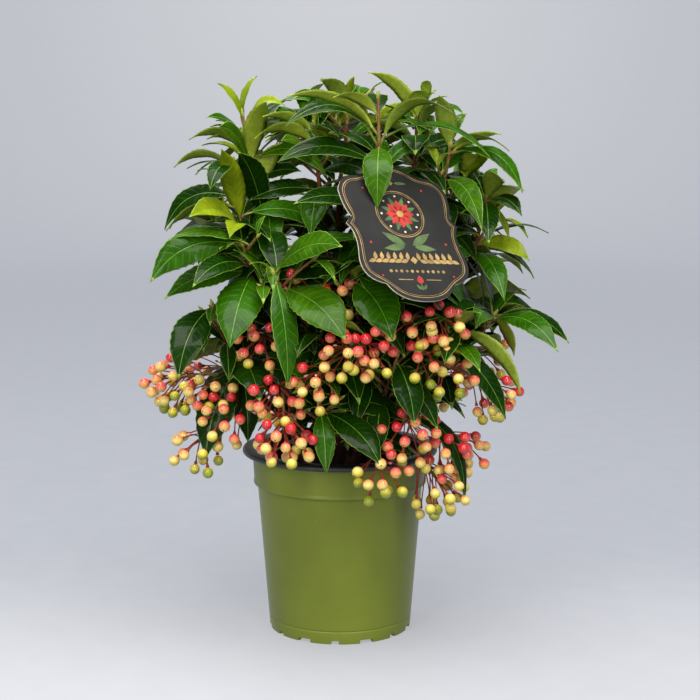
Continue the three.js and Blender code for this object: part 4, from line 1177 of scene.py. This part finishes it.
def make_twigs(look):
    """Shoots from inside their limbs to the crown, and the side twigs of every shoot, with a bud at
    each end; brown and woody below, green at the tips. Twigs without leaves are left out."""
    pile = Pile()
    feet = np.concatenate([leaves(piece, look.share, look.tuft)[:, :3] for piece in FOLIAGE])
    for seed, name in enumerate(MASSES):
        for number, axis in enumerate(axes_of(name, seed)[1]):
            half = along(axis, np.linspace(0.6, 1, 5))
            if number and np.linalg.norm(half[:, None] - feet, axis=-1).min() > TWIG.bare:
                continue
            size, start = (TWIG, axis[0]) if number else (SHOOT, shoots()[name][1])
            t = np.linspace(0, 1, size.rings)
            bud = along(axis, 1) + np.outer(TWIG.bud_steps, tangent(axis, 1))
            path = np.concatenate([start[None] - 0.01 * UP, along(axis, t), bud])
            girth = mix(*size.radii, np.concatenate([[0], t]))
            girth = girth * (1 + 0.12 * np.sin(9 * np.arange(len(girth))))
            girth = np.concatenate([girth, size.radii[1] * np.array(TWIG.bud_girths)])
            slots = np.ones(len(path) - 1, int)
            slots[: round(size.rings * size.woody)] = 0
            slots[-len(bud) :] = 2
            pile.tube(path, girth, size.sides, slots, (0, 2))
    return pile


def rounded(profile, radius, steps):
    """A closed outline with each corner cut back by the radius, or by 0.4 of a short edge, along a
    quadratic curve that the corner pulls. Corners on the axis stay."""
    corner = np.array(profile, float)
    arcs = []
    for side in (1, -1):
        edge = np.roll(corner, side, axis=0) - corner
        span = np.linalg.norm(edge, axis=1, keepdims=True)
        cut = np.minimum(radius, 0.4 * span)
        cut[corner[:, 0] < TINY] = 0
        arcs.append(corner + edge / span * cut)
    curves = np.stack([arcs[0], corner, arcs[1]], axis=1)
    points = along(curves[:, None], np.linspace(0, 1, steps)).reshape(-1, 2)
    return points[np.linalg.norm(points - np.roll(points, 1, axis=0), axis=1) > TINY]


def lathed(profile, angles):
    """Rings of a profile of radii and heights carried round +Z: (r cos a, r sin a, z)."""
    radius, height = profile[::-1].T
    level = np.cos(angles)[:, None] * radius, np.sin(angles)[:, None] * radius
    return np.stack([*level, np.broadcast_to(height, level[0].shape)], axis=-1)[None]


def looped(rings):
    """A pile that starts with one closed skin over rings that loop."""
    pile = Pile()
    pile.loft(rings, looped=True)
    return pile


def make_pot():
    """The pot: a tapering wall with a fine line low down, a step to the collar and a rounded lip, and
    notches cut through the foot ring."""
    groove = mix(POT.foot_radius, POT.wall_radius, POT.groove / POT.wall_top)
    foot_inner, bead = POT.foot_radius - POT.foot_width, POT.collar_radius + POT.bead
    profile = rounded([
        [0, 0], [POT.pad_radius, 0], [POT.pad_radius + 1, POT.recess], [foot_inner - 1, POT.recess],
        [foot_inner, 0], [POT.foot_radius, 0], [groove, POT.groove - 0.6],
        [groove - POT.groove_depth, POT.groove], [groove + 0.1, POT.groove + 0.7],
        [POT.wall_radius - 0.2, POT.wall_top - 0.8], [bead, POT.wall_top], [bead, POT.collar_bottom],
        [POT.collar_radius, POT.collar_bottom + 1], [POT.top_radius, POT.top],
        [POT.top_radius - POT.wall, POT.top], [POT.collar_radius - POT.wall, POT.collar_bottom],
        [POT.wall_radius - POT.wall, POT.wall_top - 1], [POT.foot_radius - POT.wall + 0.3, POT.floor],
        [0, POT.floor],
    ], POT.round, 4)
    middles = (np.arange(NOTCHES.count) + NOTCHES.first) * (360 / NOTCHES.count)
    halves = np.degrees(np.resize(NOTCHES.widths, NOTCHES.count) / 2 / POT.foot_radius)
    borders = [middles + side * (halves + off) for side in (-1, 1) for off in (-NOTCHES.edge, NOTCHES.edge)]
    angles = np.sort(np.concatenate([np.degrees(circle(POT.steps)), *borders]) % 360)
    rings = lathed(profile, np.radians(angles))
    notched = (np.abs((angles[:, None] - middles + 180) % 360 - 180) < halves).any(axis=1)
    foot = (np.hypot(rings[..., 0], rings[..., 1]) > foot_inner - 0.9) & (rings[..., 2] < NOTCHES.height)
    rings[..., 2] = np.where(foot & notched[:, None], NOTCHES.height, rings[..., 2])
    return looped(rings)


def make_rim():
    """The rim of the pot inside: a turned-out band with a soft top edge, and its skirt."""
    foot = RIM.mouth - RIM.draft
    profile = rounded([
        [foot - RIM.skirt, RIM.skirt_foot], [foot, RIM.skirt_foot], [RIM.mouth, RIM.bottom],
        [RIM.radius - 1.2, RIM.bottom], [RIM.radius, RIM.bottom + 1], [RIM.radius, RIM.top - 1.4],
        [RIM.radius - 1.2, RIM.top - 0.3], [RIM.radius - 5, RIM.top], [RIM.mouth, RIM.top - 0.4],
        [RIM.mouth - RIM.skirt, RIM.top - 2],
    ], RIM.round, 5)
    return looped(lathed(profile, circle(POT.steps)))


def make_soil():
    """Peat that fills the pot: a turned body whose top heaves by sines of its place, with granules of
    low faceted globes half sunk in it."""
    wall = POT.wall + GAP
    skirt = RIM.mouth - RIM.draft - RIM.skirt - GAP
    profile = np.array([
        [0, SOIL.bottom], [POT.foot_radius - wall, SOIL.bottom],
        [POT.wall_radius - wall - GAP, POT.wall_top - 2], [skirt - GAP, RIM.skirt_foot],
        *([radius, SOIL.top] for radius in np.linspace(skirt, 0, 30)),
    ])
    rings = lathed(profile, circle(SOIL.sides))
    x, y, z = np.moveaxis(rings, -1, 0)
    radius = np.hypot(x, y)
    heave = np.sin(x * 0.31 + 1.3 * np.sin(y * 0.23)) + np.sin(y * 0.41 + np.sin(x * 0.37))
    heave = (heave + np.sin(x + y * 1.3)) / 3 * smooth(0, 5, radius) * smooth(skirt, skirt - 4, radius)
    rings[..., 2] = z + (z >= SOIL.top) * SOIL.relief * heave
    pile = looped(rings)
    number = np.arange(SOIL.granules)
    away = (skirt - 3) * np.sqrt(chance(3, number))
    spots = bearing(number * GOLDEN_TURN, 0) * away[:, None] + UP * (SOIL.top + 0.2)
    ways = bearing(360 * chance(5, number), 180 * (chance(6, number) - 0.5))
    pile.loft(berry_rings(spots, ways, 0.8 + 1.5 * chance(7, number) ** 2, 5, 6), soft=False)
    return pile


def left_of(outline):
    """Unit vectors to the left of an outline's way at each of its points."""
    way = unit(np.roll(outline, -1, axis=0) - np.roll(outline, 1, axis=0))
    return np.stack([-way[:, 1], way[:, 0]], axis=-1)


def label_outline(inset=0.0):
    """The label's outline from its dome to the left, turning left, moved inwards by the inset."""
    t = np.linspace(0, 1, 13)[1:]
    right = [np.array([[0.0, LABEL.half_height]])]
    for pull, end in LABEL_SIDE:
        right.append(along(np.array([right[-1][-1], pull, end], float), t))
    right = np.concatenate(right)
    outline = np.concatenate([right, right[1:-1][::-1] * [-1, 1]])[::-1]
    if inset:
        outline = outline + inset * left_of(outline)
        for _ in range(LABEL.ease):
            outline = (np.roll(outline, 1, axis=0) + 2 * outline + np.roll(outline, -1, axis=0)) / 4
    return outline


def on_label(flat, height):
    """Points of the label's plane, across and up, at a height over its back, in the frame's space."""
    across, upward, out, centre, _ = label_frame()
    flat = np.asarray(flat, float)
    return centre + flat[..., :1] * across + flat[..., 1:] * upward + height * out


def band(outline, width):
    """A closed band of ink along an outline: rings of four corners, square in section."""
    side = left_of(outline) * width / 2
    high, low = LABEL.thick + LABEL.ink, LABEL.thick - LABEL.sink
    corners = [(-side, high), (-side, low), (side, low), (side, high)]
    return np.stack([on_label(outline + shift, height) for shift, height in corners], axis=1)[None]


def oblong(left, low, right, high):
    """The corners of an upright rectangle, turning left."""
    return np.array([[left, low], [right, low], [right, high], [left, high]], float)


def petal(place, heading, length, width, steps=9):
    """A leaf or petal outline: half its width goes as sin(pi s^0.8) along its length."""
    s = np.linspace(0, 1, steps)[:, None]
    way = bearing(heading, 0)[:2]
    side = width / 2 * np.sin(np.pi * s**0.8) * np.array([-way[1], way[0]])
    spine = place + s * length * way
    return np.concatenate([spine - side, (spine + side)[-2:0:-1]])


def disc(place, radius, sides=24):
    """A circle, or with four sides a lozenge."""
    return np.asarray(place) + radius * bearing(np.arange(sides) * 360 / sides, 0)[:, :2]


def make_label():
    """The label: a card cut in lobes, hung by its neck and an eye, and its print of low raised ink."""
    pile = Pile()
    half, reach = LABEL.neck / 2, LABEL.half_height
    neck = oblong(-half, reach - 1, half, reach + LABEL.reach)
    for outline, inset in ((label_outline(), 0), (neck, 0.02)):
        pile.prism(on_label(outline, inset), on_label(outline, LABEL.thick - inset), (CARD, EDGE, CARD))
    axis = tangent(shoots()["top_front"][0], LABEL.eye_at)
    across, upward = square_to(axis)
    turn = circle(40)[:, None, None]
    hole = mix(*SHOOT.radii, LABEL.eye_at) + GAP
    corners = oblong(hole, 0, LABEL.eye_radius, LABEL.thick)[::-1]
    radial = np.cos(turn) * across + np.sin(turn) * upward
    ring = label_frame()[-1] + radial * corners[:, :1] + axis * corners[:, 1:]
    pile.loft(ring[None], EDGE, looped=True, soft=False)
    print_label(pile)
    return pile


def print_label(pile):
    """The print: a double border, a rosette in a ring, two broad leaves, garlands and rules with
    lozenges. Each motif is a thin prism or band of ink."""
    def ink(slot, outline, lift=1.0):
        low, high = LABEL.thick - LABEL.sink, LABEL.thick + lift * LABEL.ink
        pile.prism(on_label(outline, low), on_label(outline, high), (slot,) * 3)

    middle = np.array([0.0, 13.0])
    rings = [(label_outline(inset), width) for inset, width in ((2.3, 0.45), (3.5, 0.2))]
    rings += [(disc(middle, radius, 72), width) for radius, width in ((16.5, 0.5), (15.3, 0.25))]
    for outline, width in rings:
        pile.loft(band(outline, width), GOLD, looped=True, soft=False)
    for heading in 45 * np.arange(8) + 22.5:
        way, between = bearing(np.array([heading, heading + 22.5]), 0)[:, :2]
        ink(GREEN, petal(middle + 4.6 * way, heading, 8.6, 3.0))
        ink(RED, petal(middle + 1.6 * between, heading + 22.5, 8.4, 5.4), 1.5)
        ink(PALE, disc(middle + 12.9 * between, 0.75, 12))
    ink(GOLD, disc(middle, 2.3), 2.2)
    for side in (-1, 1):
        broad = (2.5, -9.5, 58, 17, 5.4), (3.5, -10.5, 96, 15, 4.6)
        sprigs = (1, -40.5, 35, 4.5, 1.9), (2.4, 35.5, 90, 9, 2.2)
        for x, y, turn, length, width in broad + sprigs:
            ink(GREEN, petal([side * x, y], 90 - side * turn, length, width))
        for x, y, radius in ((21, 31, 0.9), (26.5, -8, 1.0), (25, -31, 0.8)):
            ink(RED, disc([side * x, y], radius, 4))
        ink(GOLD, oblong(side * 9.8 - 5.2, -33.9, side * 9.8 + 5.2, -33.4))
        for x in 4.2 + 4.5 * np.arange(6):
            for lean in (-58, 58):
                ink(GOLD, petal([side * x, -20], 90 - side * 50 + lean, 5.6, 2.7))
    ink(GREEN, petal([0, -41], 90, 4.5, 1.7))
    ink(RED, petal([0, -36.6], 90, 6, 4.4), 1.5)
    for i in range(11):
        ink(GOLD, disc([(i - 5) * 3.7, -27.8], 1.1, 4 if i % 2 else 12))
    for y, radius in ((-20, 2.6), (35.5, 1.7)):
        ink(GOLD, disc([0, y], radius, 4))


def make_floor(look):
    """The floor and its backdrop as one sweep: flat to a radius, then up along a quarter circle."""
    flat, bend = look.flat / MM, look.bend / MM
    rise = np.radians(np.linspace(0, 90, 24))
    curve = np.stack([flat + bend * np.sin(rise), bend * (1 - np.cos(rise))], axis=-1)
    level = [[radius, 0] for radius in np.linspace(0, flat, 24)[:-1]]
    profile = np.concatenate([level, curve, [curve[-1] + [0, 400]]])
    back = profile + [2, -2]
    back[0] = [0, -2]
    return looped(lathed(np.concatenate([back, profile[::-1]]), circle(120)))


# Light: the world's colour and strength, the lamps' colour and what they aim at, and each lamp's name,
# place and size in metres, and power in watts
WORLD = Sizes(colour="#e6e4df", strength=0.26)
LIGHT = Sizes(colour=(1, 0.96, 0.88), aim=Vector((0, 0, 0.2)))
LAMPS = [
    ("overhead", (0.1, -0.45, 1.7), (1.2, 1.2), 40),
    ("left softbox", (-0.8, -1.5, 0.9), (0.35, 1.5), 16),
    ("back softbox", (-0.5, 0.7, 1.5), (0.9, 0.7), 11),
    ("right softbox", (0.6, -1.6, 0.8), (0.3, 1.5), 12),
]


def fraction(name, description, default):
    return bpy.props.FloatProperty(
        name=name, description=description, default=default, min=0, max=1, subtype="FACTOR"
    )


def colour(name, description, code):
    return bpy.props.FloatVectorProperty(
        name=name, description=description, default=hue(code)[:3], size=3, min=0, max=1, subtype="COLOR"
    )


def count(name, description, default, least):
    return bpy.props.IntProperty(name=name, description=description, default=default, min=least)


def length(name, description, default, least):
    return bpy.props.FloatProperty(
        name=name, description=description, default=default, min=least, unit="LENGTH"
    )


class PotLook(bpy.types.PropertyGroup):
    colour: colour("Colour", "Base colour of the pot", "#7a8832")
    roughness: fraction("Roughness", "How matte the pot is", 0.34)
    rim_colour: colour("Rim Colour", "Base colour of the rim", "#1a1c1e")


class LeafLook(bpy.types.PropertyGroup):
    share: bpy.props.FloatProperty(
        name="Share", description="Ruled leaves for each one in the frame", default=2.8, min=0, max=3
    )
    tuft: count("Tuft", "Young leaves at each tip", 3, 0)
    teeth: count("Teeth", "Teeth on a shown leaf's side", 11, 2)
    ruled_teeth: count("Ruled Teeth", "Teeth on the side of a leaf grown by rule", 8, 2)
    inner_teeth: count("Inner Teeth", "Teeth on the side of a leaf inside the crown", 6, 2)
    young_teeth: count("Young Teeth", "Teeth on a young leaf's side", 4, 2)
    gloss_roughness: fraction("Gloss Roughness", "Roughness of a grown leaf's upper side", 0.24)


class WoodLook(bpy.types.PropertyGroup):
    dark: colour("Dark", "Colour of the cracks in the bark", "#34190f")
    light: colour("Light", "Colour of the raised bark", "#85492c")


class LabelLook(bpy.types.PropertyGroup):
    ink: colour("Ink", "Ground of the label's face", "#232426")
    gold: colour("Gold", "Colour of the borders and rules", "#cbaa70")


class StageLook(bpy.types.PropertyGroup):
    flat: length("Flat", "Radius of the flat floor", 2.6, 1)
    bend: length("Bend", "Radius of the sweep behind it", 1.6, 0.1)
    power: fraction("Light", "Strength of the lamps as a share of full", 1.0)


class MakePot(bpy.types.Operator):
    """Turn the pot, with its collar and its notched foot ring"""

    bl_idname = "ardisia.pot"
    bl_label = "Make Pot"

    def execute(self, context):
        paint = pot_paint(context.scene.ardisia_pot)
        seat(make_pot().mesh("pot", [paint], weld=0.01, sharp=34), "pot", "pot_wall")
        return {"FINISHED"}


class MakeRim(bpy.types.Operator):
    """Turn the dark rim of the pot inside"""

    bl_idname = "ardisia.rim"
    bl_label = "Make Rim"

    def execute(self, context):
        shades = shades_of(context.scene.ardisia_pot.rim_colour, 0.75, 1.35)
        paint = plain_paint("rim plastic", *shades, 90, 0.4)
        seat(make_rim().mesh("rim", [paint], sharp=34), "rim", "pot_rim")
        return {"FINISHED"}


class MakeSoil(bpy.types.Operator):
    """Fill the pot with peat"""

    bl_idname = "ardisia.soil"
    bl_label = "Make Soil"

    def execute(self, context):
        seat(make_soil().mesh("peat", [soil_paint()], weld=0.01), "soil", "soil")
        return {"FINISHED"}


class MakeWood(bpy.types.Operator):
    """Grow the stems and boughs with their bark"""

    bl_idname = "ardisia.wood"
    bl_label = "Grow Stems and Boughs"

    def execute(self, context):
        nodes = ["stem_" + name for name in STEMS] + ["bough_" + name for name in BOUGHS]
        paint = bark_paint("bark", context.scene.ardisia_wood, 260)
        seat(make_wood().mesh("wood", [paint]), "bark", *nodes)
        return {"FINISHED"}


class MakeTwigs(bpy.types.Operator):
    """Grow the shoots and their side twigs"""

    bl_idname = "ardisia.twigs"
    bl_label = "Grow Twigs"

    def execute(self, context):
        bark = bark_paint("twig bark", context.scene.ardisia_wood, 420)
        paints = [bark, organ_paint("young twig"), organ_paint("bud")]
        seat(make_twigs(context.scene.ardisia_leaf).mesh("twigs", paints), "bark")
        return {"FINISHED"}


class MakeLeaves(bpy.types.Operator):
    """Grow the leaves, in one piece for each side of the crown and one for its inside"""

    bl_idname = "ardisia.leaves"
    bl_label = "Grow Leaves"

    def execute(self, context):
        look = context.scene.ardisia_leaf
        paints = leaf_paints(look)
        for name, masses in FOLIAGE.items():
            seat(make_leaves(name, look).mesh(name, paints), "leaf", *("leaves_" + mass for mass in masses))
        inside = leaf_pile([(inner_leaves(), look.inner_teeth)], INNER.seed)
        seat(inside.mesh("foliage_inside", paints), "leaf")
        return {"FINISHED"}


class MakeFruit(bpy.types.Operator):
    """Hang the berries on their pedicels and stalks"""

    bl_idname = "ardisia.fruit"
    bl_label = "Hang Berries"

    def execute(self, context):
        paints = [berry_paint(stage) for stage in range(len(STAGES))] + [organ_paint("berry style")]
        seat(make_berries().mesh("berries", paints), "fruit", *("fruit_" + name for name in FRUIT))
        paints = [organ_paint(name) for name in ("stalk", "pedicel", "pedicel bud")]
        seat(make_pedicels().mesh("pedicels", paints), "fruit")
        return {"FINISHED"}


class MakeLabel(bpy.types.Operator):
    """Cut, print and hang the label"""

    bl_idname = "ardisia.label"
    bl_label = "Hang Label"

    def execute(self, context):
        look = context.scene.ardisia_label
        edge, *inks = (plain_paint(name, *values) for name, values in INKS.items())
        gold = plain_paint("gold ink", *shades_of(look.gold, 0.66, 1.25), 140, 0.34, metallic=0.5)
        paints = [card_paint(look), edge, gold, *inks]
        seat(make_label().mesh("label", paints, sharp=34), "label", "label_card")
        return {"FINISHED"}


class MakeStage(bpy.types.Operator):
    """Set the floor, the lamps and the camera"""

    bl_idname = "ardisia.stage"
    bl_label = "Set Stage"

    def execute(self, context):
        scene = context.scene
        look = scene.ardisia_stage
        floor = make_floor(look).mesh("floor", [floor_paint()], weld=0.01)
        # the floor's painted glow is hidden from diffuse rays, so it lights no diffuse surface of the plant
        floor.visible_diffuse = False
        world = bpy.data.worlds.new("studio")
        world.use_nodes = True
        background = world.node_tree.nodes["Background"].inputs
        background["Color"].default_value = hue(WORLD.colour)
        background["Strength"].default_value = WORLD.strength
        scene.world = world
        scene.view_settings.view_transform = "Standard"
        for name, spot, size, power in LAMPS:
            data = bpy.data.lights.new(name, "AREA")
            data.shape, data.size, data.size_y = "RECTANGLE", *size
            data.energy, data.color = power * look.power, LIGHT.colour
            turn = (LIGHT.aim - Vector(spot)).to_track_quat("-Z", "Y").to_euler()
            self.place(scene, name, data, spot, turn)
        data = bpy.data.cameras.new("view")
        data.lens, data.clip_end = CAMERA.lens, CAMERA.far
        turn = (math.radians(90 - CAMERA.pitch), 0, 0)
        scene.camera = self.place(scene, "view", data, CAMERA.place * MM, turn)
        return {"FINISHED"}

    def place(self, scene, name, data, spot, turn):
        """A lamp or a camera at a spot, turned by Euler angles."""
        made = bpy.data.objects.new(name, data)
        made.location, made.rotation_euler = spot, turn
        scene.collection.objects.link(made)
        return made


LOOKS = {"pot": PotLook, "leaf": LeafLook, "wood": WoodLook, "label": LabelLook, "stage": StageLook}
MAKERS = [MakePot, MakeRim, MakeSoil, MakeWood, MakeTwigs, MakeLeaves, MakeFruit, MakeLabel, MakeStage]


class ArdisiaPanel(bpy.types.Panel):
    """Lists the parts of the plant and their settings"""

    bl_idname = "VIEW3D_PT_ardisia"
    bl_label = "Coral Ardisia"
    bl_space_type = "VIEW_3D"
    bl_region_type = "UI"
    bl_category = "Ardisia"

    def draw(self, context):
        for name, look in LOOKS.items():
            box = self.layout.box()
            box.label(text=name.capitalize())
            for key in look.__annotations__:
                box.prop(getattr(context.scene, "ardisia_" + name), key)
        for maker in MAKERS:
            self.layout.operator(maker.bl_idname)


CLASSES = [*LOOKS.values(), *MAKERS, ArdisiaPanel]


def register():
    for item in CLASSES:
        bpy.utils.register_class(item)
    for name, look in LOOKS.items():
        setattr(bpy.types.Scene, "ardisia_" + name, bpy.props.PointerProperty(type=look))


def unregister():
    for name in LOOKS:
        delattr(bpy.types.Scene, "ardisia_" + name)
    for item in reversed(CLASSES):
        bpy.utils.unregister_class(item)


def main():
    """Makes every part in order."""
    register()
    ops = bpy.ops.ardisia
    makers = (ops.pot, ops.rim, ops.soil, ops.wood, ops.twigs, ops.leaves, ops.fruit, ops.label, ops.stage)
    for make in makers:
        make()
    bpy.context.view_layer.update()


if __name__ == "__main__":
    main()
